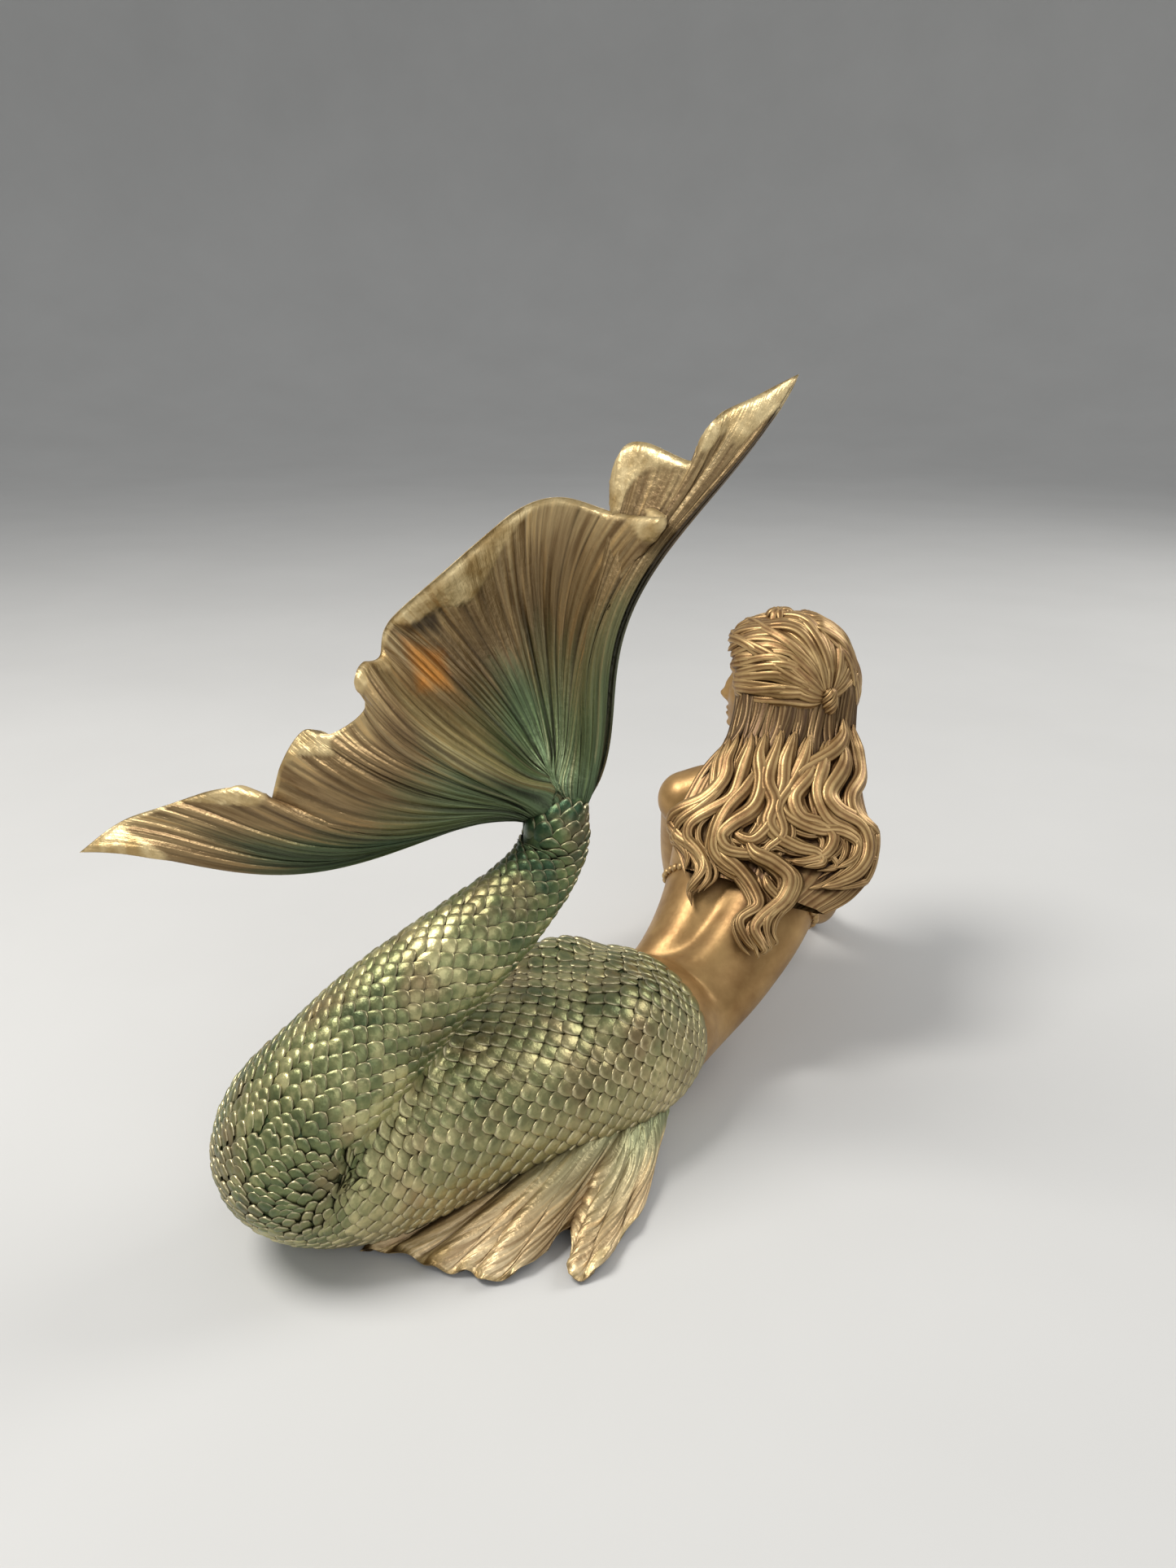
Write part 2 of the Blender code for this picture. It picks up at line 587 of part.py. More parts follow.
def add_brow_strand(bm, turn):
    turn = math.radians(turn)
    opening = math.radians(BROW_OPENING + (TEMPLE_OPENING - BROW_OPENING) * abs(math.sin(turn)))
    rim = math.sin(opening)
    start = np.array([math.cos(opening), rim * math.sin(turn), rim * math.cos(turn)])
    end = unit(np.array(HAIR_KNOT) - np.array(HAIR_CAP_SHIFT))
    angle = math.acos(np.dot(start, end))
    points = []
    for step in range(BROW_STRAND_STEPS + 1):
        t = step / BROW_STRAND_STEPS
        direction = math.sin((1 - t) * angle) * start + math.sin(t * angle) * end
        points.append((*cap_point(unit(direction)), BROW_STRAND_RADIUS))
    add_limb(bm, np.array(points), LOCK_SIDES)


# The mass of hair down the back, with shallow ribs along it
def add_hair_body(bm):
    rows = smooth_rows(HAIR_STATIONS[:HAIR_BODY_STATIONS], STEPS_PER_SPAN)
    rings = rings_along(rows, rows[:, 3], rows[:, 4], rows[:, 5], RING_SIDES * 3)
    for row, ring in zip(rows, rings):
        for index in range(len(ring)):
            rib = math.cos(2 * math.pi * CURTAIN_RIBS * index / len(ring)) * CURTAIN_RIB_HEIGHT
            ring[index] += unit(ring[index] - row[:3]) * rib
    add_rings(bm, rings)


# A place on the outside of the hair: across from minus one to one, down from zero to one
def on_hair(across, down, lift):
    last = len(HAIR_STATIONS) - 1
    place = min(down * last, last - HAIR_SLOPE_STEP)
    rows = curve_at(HAIR_STATIONS, [place, place + HAIR_SLOPE_STEP])
    side, outward = section_axes(rows[1, :3] - rows[0, :3], rows[0, 5])
    if outward[2] < 0:
        outward = -outward
    roundness = math.sqrt(max(1 - min(across * across, 1.0), 0.0))
    return rows[0, :3] + side * rows[0, 3] * across + outward * (rows[0, 4] * roundness + lift)


def add_lock(bm, half_width, way):
    way = smooth_rows(way, LOCK_STEPS)
    points = []
    for number, (across, down) in enumerate(way):
        t = number / (len(way) - 1)
        radius = half_width * (1 - LOCK_TAPER * t ** 3)
        points.append((*on_hair(across, down, LOCK_LIFT), radius))
    add_limb(bm, np.array(points), LOCK_SIDES)


# A sheet of rays fanned from a root to a rim, with half its thickness laid on each face
def add_sheet(bm, grid, half):
    normals = np.cross(np.gradient(grid, axis=0), np.gradient(grid, axis=1))
    normals /= np.maximum(np.linalg.norm(normals, axis=2, keepdims=True), 1e-9)
    layers = []
    for sheet in (grid + normals * half[:, :, None], grid - normals * half[:, :, None]):
        layers.append([[bm.verts.new(Vector(point) * MM) for point in row] for row in sheet])
    front, back = layers
    for row in range(len(front) - 1):
        for column in range(len(front[0]) - 1):
            bm.faces.new((front[row][column], front[row + 1][column],
                          front[row + 1][column + 1], front[row][column + 1]))
            bm.faces.new((back[row][column], back[row][column + 1],
                          back[row + 1][column + 1], back[row + 1][column]))
        bm.faces.new((front[row][0], back[row][0], back[row + 1][0], front[row + 1][0]))
        bm.faces.new((front[row][-1], front[row + 1][-1], back[row + 1][-1], back[row][-1]))
    for column in range(len(front[0]) - 1):
        bm.faces.new((front[0][column], front[0][column + 1], back[0][column + 1], back[0][column]))
        bm.faces.new((front[-1][column], back[-1][column], back[-1][column + 1], front[-1][column + 1]))


def half_thickness(thickness, count):
    share = np.linspace(0.0, 1.0, RAY_STEPS + 1)
    half = 0.5 * (thickness[0] + (thickness[1] - thickness[0]) * share)
    return np.tile(half, (count, 1))


def fluke_ripple(share, t):
    total = 0.0
    for across_waves, along_waves, phase, height in FLUKE_RIPPLES:
        total += height * math.sin(2 * math.pi * (across_waves * share + along_waves * t + phase))
    return total


def add_fluke(bm):
    count = (len(FLUKE_RIM) - 1) * STEPS_PER_SPAN + 1
    shares = np.linspace(0.0, 1.0, count)
    rims = curve_at(FLUKE_RIM, shares * (len(FLUKE_RIM) - 1))
    fans = curve_at(FLUKE_FAN, shares * (len(FLUKE_FAN) - 1))
    bows = curve_at([[bow] for bow in FLUKE_BOW], shares * (len(FLUKE_BOW) - 1))[:, 0]
    front = np.array(FLUKE_FRONT)
    right = np.array(FLUKE_RIGHT)
    upward = np.array([0.0, 0.0, 1.0])
    half = half_thickness(FLUKE_THICKNESS, count)
    grid = []
    for number, (share, rim, fan, bow) in enumerate(zip(shares, rims, fans, bows)):
        root = np.array(FLUKE_ROOT) + right * FLUKE_ROOT_HALF_WIDTH * (2 * share - 1)
        rib = math.sin(2 * math.pi * FLUKE_RIBS * share) * FLUKE_RIB_HEIGHT
        roundness = math.sqrt(max(1 - (2 * share - 1) ** 2, 0.0))
        line = []
        for step in range(RAY_STEPS + 1):
            t = step / RAY_STEPS
            arc = math.sin(math.pi * t)
            point = root + (fan[:3] - root) * t + (rim - fan[:3]) * t ** RUFFLE_POWER
            point = point + arc ** 2 * (right * fan[3] + upward * fan[4]) - front * (bow * arc)
            line.append(point + front * t * (rib + roundness * fluke_ripple(share, t)))
            half[number, step] += HUB_SWELL * roundness * gauss(t, 0.0, HUB_REACH)
        grid.append(line)
    add_sheet(bm, np.array(grid), half)


def add_fin(bm, mirrored):
    tips = smooth_rows(FIN_TIPS, FIN_STEPS_PER_SPAN)
    spread = np.array(FIN_ROOT_HALF_SPREAD)
    outward = np.array([1.0, 0.0, 0.0])
    upward = np.array([0.0, 0.0, 1.0])
    grid = []
    for share, tip in zip(np.linspace(0.0, 1.0, len(tips)), tips):
        root = np.array(FIN_ROOT) + spread * (2 * share - 1) * np.array([1.0, 1.0, -1.0])
        rib = math.sin(2 * math.pi * FIN_RIBS * share) * FIN_RIB_HEIGHT
        line = []
        for step in range(RAY_STEPS + 1):
            t = step / RAY_STEPS
            arc = math.sin(math.pi * t)
            bend = outward * tip[4] * arc + upward * (tip[3] * arc + rib * t)
            line.append(root + (tip[:3] - root) * t + bend)
        grid.append(line)
    grid = np.array(grid)
    if mirrored:
        grid[:, :, 0] = 2 * FIN_MIDLINE_X - grid[:, :, 0]
    add_sheet(bm, grid, half_thickness(FIN_THICKNESS, len(tips)))


# All the forms, still overlapping, in one mesh
def rough_forms():
    bm = bmesh.new()
    add_tail(bm)
    add_torso(bm)
    add_strap(bm)
    for place in BUTTOCK_PLACES:
        add_ellipsoid(bm, place, BUTTOCK_RADII)
    for place in BUST_PLACES:
        add_bust(bm, place)
    add_arm(bm, RIGHT_ARM)
    add_arm(bm, LEFT_ARM)
    add_limb(bm, smooth_rows(SHOULDER_LINE, STEPS_PER_SPAN), RING_SIDES)
    add_hand(bm, *RIGHT_HAND)
    add_hand(bm, *LEFT_HAND)
    add_head(bm)
    add_hair_cap(bm)
    for turn in BROW_STRAND_TURNS:
        add_brow_strand(bm, turn)
    add_hair_body(bm)
    for lock in LOCKS:
        add_lock(bm, *lock)
    add_fluke(bm)
    add_fin(bm, False)
    add_fin(bm, True)
    bmesh.ops.recalc_face_normals(bm, faces=bm.faces[:])
    mesh = bpy.data.meshes.new(NODE_NAME)
    bm.to_mesh(mesh)
    bm.free()
    return mesh


def evaluated_mesh(obj):
    graph = bpy.context.evaluated_depsgraph_get()
    graph.update()
    return bpy.data.meshes.new_from_object(obj.evaluated_get(graph))


# A block under the ground plane, far wider than the figurine, that gives her a flat rest
def add_ground_cutter(collection):
    bm = bmesh.new()
    side = 4 * max(station[1] for station in RIGHT_ARM) * MM
    bmesh.ops.create_cube(bm, size=side, matrix=Matrix.Translation((0.0, 0.0, -side / 2)))
    mesh = bpy.data.meshes.new("ground_cutter")
    bm.to_mesh(mesh)
    bm.free()
    cutter = bpy.data.objects.new("ground_cutter", mesh)
    cutter.hide_render = True
    cutter.display_type = "WIRE"
    collection.objects.link(cutter)
    return cutter


# Moves the finished form so that the middle of its footprint box is the origin
def stand_on_origin(body, cutter):
    finished = evaluated_mesh(body)
    corners = np.array([vert.co for vert in finished.vertices])
    bpy.data.meshes.remove(finished)
    low = corners.min(axis=0)
    high = corners.max(axis=0)
    shift = Vector((-(low[0] + high[0]) / 2, -(low[1] + high[1]) / 2, -low[2]))
    body.location = shift
    cutter.location = shift


def build():
    clear_scene()
    parts = make_collection("mermaid_figurine")
    cutters = make_collection("cutters")
    body = bpy.data.objects.new(NODE_NAME, rough_forms())
    parts.objects.link(body)
    fuse = body.modifiers.new("fuse", "REMESH")
    fuse.mode = "VOXEL"
    fuse.voxel_size = VOXEL_SIZE * MM
    relax = body.modifiers.new("relax", "SMOOTH")
    relax.factor = SMOOTH_FACTOR
    relax.iterations = SMOOTH_PASSES
    fused = evaluated_mesh(body)
    fused.calc_loop_triangles()
    thin = body.modifiers.new("thin", "DECIMATE")
    thin.ratio = TRIANGLE_TARGET / len(fused.loop_triangles)
    bpy.data.meshes.remove(fused)
    ground = body.modifiers.new("ground", "BOOLEAN")
    ground.operation = "DIFFERENCE"
    ground.solver = "EXACT"
    ground.object = add_ground_cutter(cutters)
    body.data.materials.append(make_material("bronze", BRONZE, BRONZE_ROUGHNESS, BRONZE_METALLIC))
    stand_on_origin(body, ground.object)
    return body


build()
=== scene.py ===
import math

import bmesh
import bpy
import numpy as np
from mathutils import Matrix, Vector
from mathutils.bvhtree import BVHTree


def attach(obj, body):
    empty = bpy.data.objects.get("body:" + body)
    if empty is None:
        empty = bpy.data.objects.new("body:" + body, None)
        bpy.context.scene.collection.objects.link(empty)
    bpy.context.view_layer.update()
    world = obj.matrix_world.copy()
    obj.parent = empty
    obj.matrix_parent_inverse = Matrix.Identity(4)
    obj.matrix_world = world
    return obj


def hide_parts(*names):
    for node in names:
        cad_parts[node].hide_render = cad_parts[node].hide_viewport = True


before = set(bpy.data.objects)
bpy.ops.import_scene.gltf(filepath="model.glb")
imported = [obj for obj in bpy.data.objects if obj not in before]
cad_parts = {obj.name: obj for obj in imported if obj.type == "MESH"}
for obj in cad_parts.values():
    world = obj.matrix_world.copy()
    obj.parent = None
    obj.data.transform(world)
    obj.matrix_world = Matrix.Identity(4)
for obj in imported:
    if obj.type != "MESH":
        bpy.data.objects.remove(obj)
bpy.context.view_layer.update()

MM = 0.001
SHIFT = np.array([5.674, -104.699, 0.0])
draws = np.random.default_rng(11)

# Tail from the waist over the thigh and the knee to the fluke: x, y, z, half width, half height
TAIL_STATIONS = [
    (14.0, 102.0, 17.8, 21.4, 16.4),
    (14.0, 94.0, 18.7, 24.6, 18.9),
    (14.0, 82.0, 19.5, 27.5, 21.0),
    (13.0, 62.0, 20.0, 27.5, 21.5),
    (10.0, 36.0, 19.5, 24.0, 20.8),
    (6.5, 13.0, 18.5, 21.0, 19.3),
    (3.5, 0.0, 21.0, 18.5, 15.5),
    (4.0, 1.5, 30.0, 17.5, 14.5),
    (6.5, 10.0, 38.5, 15.5, 14.0),
    (9.0, 22.0, 48.0, 13.0, 13.5),
    (11.5, 33.0, 55.0, 11.5, 12.0),
    (13.5, 45.0, 61.0, 10.5, 10.5),
    (15.0, 56.5, 67.5, 8.8, 8.8),
    (16.0, 64.0, 74.5, 7.8, 7.8),
    (16.0, 66.5, 81.0, 7.8, 7.2),
    (16.0, 69.0, 87.5, 6.5, 3.8),
    (16.0, 72.5, 95.0, 3.5, 1.2),
]
# Torso from the pelvis to the skull: x, y, z, half width, half depth, turn in degrees
TORSO_STATIONS = [
    (14.0, 86.0, 19.5, 24.0, 18.0, 0.0),
    (14.0, 99.0, 17.0, 22.0, 16.5, 2.0),
    (14.0, 112.0, 16.5, 18.5, 14.0, 6.0),
    (14.0, 126.0, 23.5, 19.5, 14.0, 12.0),
    (12.5, 140.0, 34.0, 21.5, 14.5, 20.0),
    (8.0, 153.0, 45.0, 23.0, 14.0, 28.0),
    (3.0, 161.0, 56.0, 22.0, 11.5, 34.0),
    (1.0, 167.0, 65.0, 10.0, 8.5, 40.0),
    (-1.5, 171.0, 73.0, 6.8, 6.8, 45.0),
    (-2.5, 175.0, 83.0, 6.8, 6.8, 50.0),
]
BUTTOCK_PLACES = [(26.0, 76.0, 25.0), (2.0, 77.0, 26.0)]
BUTTOCK_RADII = (13.5, 23.0, 16.0)
# Place of the bead strap, counted in torso stations
STRAP_STATION = 4.2
# Arms from shoulder to wrist, and the yoke between the shoulders: x, y, z, half thickness
RIGHT_ARM = [
    (19.0, 175.0, 49.0, 7.5),
    (12.0, 189.0, 30.0, 6.2),
    (1.0, 202.0, 8.5, 5.4),
    (-12.0, 210.0, 6.5, 5.2),
    (-27.0, 216.5, 5.2, 3.3),
    (-31.0, 217.2, 4.9, 3.2),
]
LEFT_ARM = [
    (-15.5, 151.5, 56.5, 7.5),
    (-24.5, 161.0, 32.0, 6.2),
    (-31.0, 175.0, 8.5, 5.4),
    (-36.0, 188.0, 6.5, 5.2),
    (-38.0, 203.0, 8.5, 3.3),
    (-38.2, 207.0, 9.4, 3.2),
]
SHOULDER_LINE = [
    (-15.5, 151.5, 56.5, 8.5),
    (-9.0, 157.0, 59.0, 8.6),
    (1.0, 163.5, 60.0, 8.6),
    (10.5, 170.0, 56.0, 8.6),
    (18.5, 175.0, 50.0, 8.2),
]
SHOULDER_RADIUS = 8.5
# Hands: wrist, way of the fingers, way across the palm, side of the thumb
RIGHT_HAND = ((-28.0, 216.8, 5.0), (-0.99, 0.10, -0.06), (0.10, 0.99, 0.0), -1)
LEFT_HAND = ((-38.0, 204.0, 9.0), (0.04, 0.99, -0.10), (0.99, -0.04, 0.0), 1)
PALM_PLACE = 7.0
PALM_RADII = (6.8, 4.7, 2.4)
KNUCKLE_PLACE = 11.0
FINGER_SPACING = 2.3
FINGER_LENGTHS = (8.6, 10.2, 10.6, 9.4)
FINGER_RADII = (1.5, 1.4, 1.0)
FINGER_DROOP = 0.9
THUMB_START = (3.0, 3.4)
THUMB_END = (10.5, 7.6)
THUMB_RADII = (1.8, 1.6, 1.2)
BUST_PLACES = [(14.0, 166.0, 36.0), (-9.0, 155.0, 38.0)]
BUST_RADIUS = 9.5
SHELL_PROUD = 1.2
SHELL_RIBS = 7
SHELL_HINGE = 1.2
HEAD_CENTRE = (-4.0, 177.0, 89.5)
FACE_AZIMUTH = 199.0
FACE_PITCH = 5.0
HAIR_AZIMUTH = 192.0
HAIR_PITCH = -4.0
# Head: height above its middle, reach to the front, reach to the back, half width
HEAD_SECTIONS = [
    (-17.0, 8.5, 1.0, 3.0),
    (-15.5, 11.3, 2.0, 5.2),
    (-12.5, 12.3, 5.0, 7.4),
    (-8.5, 12.7, 9.0, 9.2),
    (-4.0, 12.9, 11.5, 10.5),
    (0.0, 12.6, 13.0, 11.1),
    (4.0, 13.2, 14.0, 11.5),
    (8.5, 12.6, 13.6, 11.3),
    (12.5, 10.2, 11.5, 9.6),
    (15.3, 6.6, 7.8, 6.6),
    (16.6, 2.4, 3.0, 2.6),
]
# Face: across, height, spread across, spread up, how far it stands out
FACE_RELIEF = [
    (0.0, -3.0, 1.1, 3.6, 1.9),
    (0.0, -6.3, 1.8, 1.6, 2.3),
    (1.5, -6.9, 0.9, 0.9, 0.8),
    (4.7, 0.2, 2.6, 1.8, -1.7),
    (4.6, 0.1, 1.6, 1.0, 0.9),
    (4.6, 3.2, 3.4, 1.1, 0.7),
    (6.2, -5.0, 2.6, 2.4, 0.7),
    (0.0, -10.2, 2.3, 0.75, 1.0),
    (0.0, -12.0, 1.9, 0.85, 1.1),
    (0.0, -11.1, 2.6, 0.3, -0.5),
    (0.0, -15.2, 2.4, 1.5, 1.3),
]
HAIR_CAP_SHIFT = (-5.0, 0.0, 3.0)
# Rounded forms of the hair: shift from the middle of the head, and radii
HAIR_FORMS = [
    ((-5.0, 0.0, 3.0), (17.5, 16.5, 17.5)),
    ((-1.5, 0.0, 8.0), (15.8, 14.5, 12.0)),
    ((-11.0, -4.5, -1.0), (11.5, 11.0, 16.0)),
]
HAIR_TUFT = (-2.0, 0.0, 19.0)
KNOT_DIRECTION = (-0.85, 0.47, -0.24)
HAIR_KNOT_RADIUS = 2.1
BAND_LIMIT = 99
BROW_STRAND_TURNS = [-100, -80, -60, -40, -20, 0, 20, 40, 60, 80, 100]
BROW_OPENING = 31.0
TEMPLE_OPENING = 46.0
# The base of the cap sinks under the forehead over this many degrees, by this depth
HAIRLINE_SLOPE = 8.0
HAIRLINE_DEPTH = 4.5
BROW_STRAND_RADIUS = 1.9
# Hair down the back: x, y, z, half width, half thickness, turn about the vertical
HAIR_STATIONS = [
    (4.0, 178.0, 91.0, 17.0, 12.0, 45.0),
    (9.0, 169.5, 79.0, 17.5, 8.0, 45.0),
    (12.5, 163.0, 71.5, 20.0, 7.0, 42.0),
    (15.5, 154.5, 63.0, 25.0, 6.0, 36.0),
    (19.0, 147.0, 55.5, 28.0, 5.2, 33.0),
    (21.0, 140.5, 49.5, 26.0, 4.2, 30.0),
    (22.5, 134.0, 44.5, 20.0, 2.6, 28.0),
    (24.0, 127.0, 39.0, 14.0, 2.0, 26.0),
    (26.0, 119.0, 33.0, 8.0, 1.5, 24.0),
]
HAIR_BODY_STATIONS = 7
HAIR_SLOPE_STEP = 0.02
CURTAIN_RIBS = 13
CURTAIN_SIDES = 208
# Locks: half width, then the way across from minus one to one and down from crown to tips
LOCKS = [
    (2.3, [(-0.85, 0.20), (-0.74, 0.31), (-0.64, 0.37), (-0.74, 0.43), (-0.95, 0.48), (-1.00, 0.56),
           (-0.91, 0.62), (-0.74, 0.68), (-0.70, 0.75), (-0.96, 0.83), (-1.30, 0.88)]),
    (2.2, [(-0.66, 0.20), (-0.55, 0.29), (-0.47, 0.37), (-0.48, 0.42), (-0.64, 0.47), (-0.80, 0.56),
           (-0.82, 0.64), (-0.70, 0.70), (-0.63, 0.77), (-0.83, 0.84)]),
    (2.5, [(-0.46, 0.20), (-0.40, 0.28), (-0.22, 0.36), (-0.21, 0.44), (-0.38, 0.52), (-0.46, 0.59),
           (-0.35, 0.64), (-0.08, 0.62), (0.08, 0.57), (0.22, 0.58)]),
    (2.5, [(-0.24, 0.18), (-0.21, 0.28), (-0.15, 0.36), (-0.02, 0.42), (-0.03, 0.49), (0.08, 0.53),
           (0.29, 0.55), (0.48, 0.55), (0.57, 0.58), (0.43, 0.62)]),
    (2.4, [(0.72, 0.10), (0.73, 0.15), (0.57, 0.22), (0.20, 0.30), (0.07, 0.38), (0.10, 0.44), (0.26, 0.47),
           (0.45, 0.48), (0.64, 0.47), (0.83, 0.49), (0.84, 0.55), (0.74, 0.63)]),
    (2.4, [(0.92, 0.10), (0.98, 0.16), (0.98, 0.25), (0.81, 0.33), (0.83, 0.41), (1.00, 0.44),
           (1.03, 0.49), (0.93, 0.52)]),
    (2.6, [(0.70, 0.16), (0.72, 0.24), (0.54, 0.34), (0.62, 0.40), (0.84, 0.43), (0.93, 0.49),
           (0.91, 0.56), (0.83, 0.63), (0.73, 0.67)]),
    (2.4, [(-0.22, 0.56), (-0.08, 0.62), (0.15, 0.64), (0.38, 0.68), (0.49, 0.77), (0.43, 0.87),
           (0.50, 0.92), (0.93, 0.96), (1.21, 0.98)]),
    (2.1, [(-0.52, 0.62), (-0.40, 0.67), (-0.18, 0.71), (0.08, 0.77), (0.25, 0.83), (0.09, 0.90),
           (0.40, 0.95), (0.92, 0.98)]),
    (2.2, [(-0.34, 0.30), (-0.36, 0.38), (-0.47, 0.46), (-0.52, 0.60), (-0.49, 0.68), (-0.28, 0.72),
           (-0.01, 0.73)]),
    (2.3, [(0.34, 0.24), (0.29, 0.31), (0.17, 0.39), (0.25, 0.45), (0.44, 0.46), (0.59, 0.49),
           (0.56, 0.55), (0.40, 0.60), (0.28, 0.61)]),
    (1.6, [(0.10, 0.70), (0.24, 0.74), (0.48, 0.78), (0.53, 0.86), (0.70, 0.91), (1.05, 0.95)]),
    (2.1, [(-0.94, 0.22), (-0.79, 0.31), (-0.65, 0.39), (-0.76, 0.46), (-0.92, 0.56), (-0.96, 0.63),
           (-0.89, 0.70), (-0.98, 0.76)]),
    (2.3, [(0.50, 0.18), (0.44, 0.27), (0.41, 0.35), (0.52, 0.44), (0.72, 0.46), (0.83, 0.48),
           (0.83, 0.53), (0.72, 0.58)]),
    (2.4, [(-0.04, 0.18), (-0.06, 0.28), (0.02, 0.36), (-0.01, 0.44), (-0.05, 0.51), (-0.15, 0.57),
           (-0.30, 0.56), (-0.27, 0.52)]),
    (2.2, [(0.20, 0.18), (0.16, 0.28), (0.10, 0.36), (0.02, 0.44), (0.12, 0.52), (0.02, 0.60),
           (0.18, 0.67)]),
]
LOCK_LIFT = 1.2
LOCK_TAPER = 0.75
# The three strands of a lock: aside, further down, share of its width, and lift
LOCK_STRANDS = [(-0.105, 0.012, 0.62, 0.55), (0.105, -0.010, 0.62, 0.45), (0.0, 0.0, 1.0, LOCK_LIFT)]
FLUKE_ROOT = (14.8, 68.5, 86.0)
FLUKE_ROOT_HALF_WIDTH = 6.5
# Plain fan: x, y, z of the rim, then how the middle of the ray swings right and lifts
FLUKE_FAN = [
    (-69.0, -6.0, 72.0, 0.0, -9.0),
    (-38.0, 21.0, 87.0, 0.0, -3.0),
    (-21.0, 36.0, 107.0, 0.0, 2.0),
    (-20.0, 50.0, 124.0, 0.0, 0.0),
    (-4.0, 73.0, 147.0, 0.0, 0.0),
    (20.0, 84.0, 152.0, -1.5, 0.0),
    (33.0, 91.0, 162.0, -7.0, 0.0),
    (49.0, 103.0, 177.5, -11.5, 0.0),
]
# How far the middle of the ray bows back, evenly spread over the fan
FLUKE_BOW = [-4.0, -6.0, -8.0, -9.5, -11.0, -11.5, 6.0, 12.5, 12.5, 9.0, 4.5, 2.2, 1.0, 0.0, -1.0]
# The ruffled rim, evenly spread over the same fan
FLUKE_RIM = [
    (-69.0, -6.0, 72.0),
    (-63.0, 2.0, 79.0),
    (-52.0, 11.0, 84.5),
    (-40.0, 19.0, 89.0),
    (-35.0, 23.0, 82.0),
    (-31.0, 26.0, 94.5),
    (-27.5, 30.5, 102.5),
    (-20.0, 33.5, 103.0),
    (-13.0, 37.5, 109.5),
    (-12.0, 35.0, 117.0),
    (-14.0, 38.0, 119.0),
    (-20.5, 47.0, 117.5),
    (-21.5, 49.5, 123.0),
    (-19.5, 52.0, 127.0),
    (-15.0, 58.5, 133.5),
    (-9.5, 68.5, 142.5),
    (-4.5, 76.0, 149.0),
    (2.0, 82.5, 151.5),
    (15.0, 86.0, 149.0),
    (33.5, 81.0, 150.0),
    (22.0, 88.0, 151.5),
    (13.0, 89.0, 155.5),
    (13.0, 90.5, 162.0),
    (19.0, 91.5, 163.5),
    (33.0, 90.0, 160.5),
    (33.5, 93.0, 164.5),
    (36.5, 93.5, 169.5),
    (42.0, 97.5, 173.0),
    (49.5, 102.5, 177.5),
]
RUFFLE_POWER = 2.6
FLUKE_THICKNESS = (3.4, 2.0)
HUB_SWELL = 4.2
HUB_REACH = 0.11
FIN_ROOT = (33.5, 76.0, 12.0)
FIN_ROOT_HALF_SPREAD = (2.0, 6.0, 4.5)
# Side fin: x, y, z of the tips, how each ray arches and how far it swings outward
FIN_TIPS = [
    (16.5, 6.0, 1.5, 1.0, 4.5),
    (20.5, 9.5, 1.5, 2.0, 4.0),
    (26.0, 12.5, 1.5, 3.0, 3.5),
    (31.0, 13.5, 1.5, 4.0, 3.0),
    (35.5, 15.5, 1.5, 4.0, 2.0),
    (38.5, 18.5, 1.5, 4.5, 1.5),
    (42.0, 18.5, 1.5, 4.5, 1.0),
    (45.0, 23.0, 1.5, 4.5, 0.5),
    (45.5, 30.0, 2.0, 4.0, 0.0),
    (45.0, 39.0, 3.0, 3.0, 0.0),
    (47.0, 40.0, 3.5, 2.5, 0.0),
    (52.5, 33.0, 2.0, 2.5, 0.0),
    (55.5, 32.0, 1.5, 2.0, 0.0),
    (57.0, 36.0, 1.5, 1.5, 0.0),
    (55.0, 45.0, 1.8, 1.0, 0.0),
    (51.5, 56.0, 2.0, 0.5, 0.0),
    (43.0, 70.0, 3.0, 0.0, 0.0),
    (37.0, 80.0, 5.0, 0.0, 0.0),
]
FIN_THICKNESS = (6.0, 2.2)
FIN_MIDLINE_X = 11.0
FLUKE_FRONT = np.array([0.68, -0.73, 0.0])
FLUKE_RIBS = 22
FLUKE_RIB_HEIGHT = 0.45
# Crumpled stretches of the rim: place on the fan, spread, and how far in they reach
FLUKE_CRUMPLED = [(0.0, 0.025, 0.10), (0.11, 0.02, 0.06), (0.215, 0.018, 0.13), (0.33, 0.02, 0.05),
                  (0.52, 0.03, 0.13), (0.80, 0.03, 0.12), (0.98, 0.03, 0.10)]
# Slow ripples of the fan: waves across, waves outward, phase in turns, height
FLUKE_RIPPLES = [
    (4.6, 0.7, 0.10, 0.36),
    (7.3, -0.9, 0.45, 0.30),
    (9.8, 0.5, 0.80, 0.24),
    (2.9, 1.3, 0.30, 0.30),
]
FIN_RIBS = 12
FIN_RIB_HEIGHT = 0.5
FLUKE_RIGHT = np.array([0.73, 0.68, 0.0])
BEAD_RADIUS = 1.25
UPWARD = np.array([0.0, 0.0, 1.0])


# A smooth curve through rows of numbers, read at places counted in rows
def curve_at(rows, places):
    rows = np.array(rows, dtype=float)
    padded = np.vstack([2 * rows[0] - rows[1], rows, 2 * rows[-1] - rows[-2]])
    places = np.asarray(places, dtype=float)
    index = np.clip(np.floor(places).astype(int), 0, len(rows) - 2)
    t = (places - index)[:, None]
    before, start, end, after = (padded[index + step] for step in range(4))
    return 0.5 * (2 * start + (end - before) * t + (2 * before - 5 * start + 4 * end - after) * t ** 2
                  + (3 * start - before - 3 * end + after) * t ** 3)


def smooth_rows(rows, steps):
    return curve_at(rows, np.linspace(0, len(rows) - 1, (len(rows) - 1) * steps + 1))


def unit(vectors):
    return vectors / np.maximum(np.linalg.norm(vectors, axis=-1, keepdims=True), 1e-9)


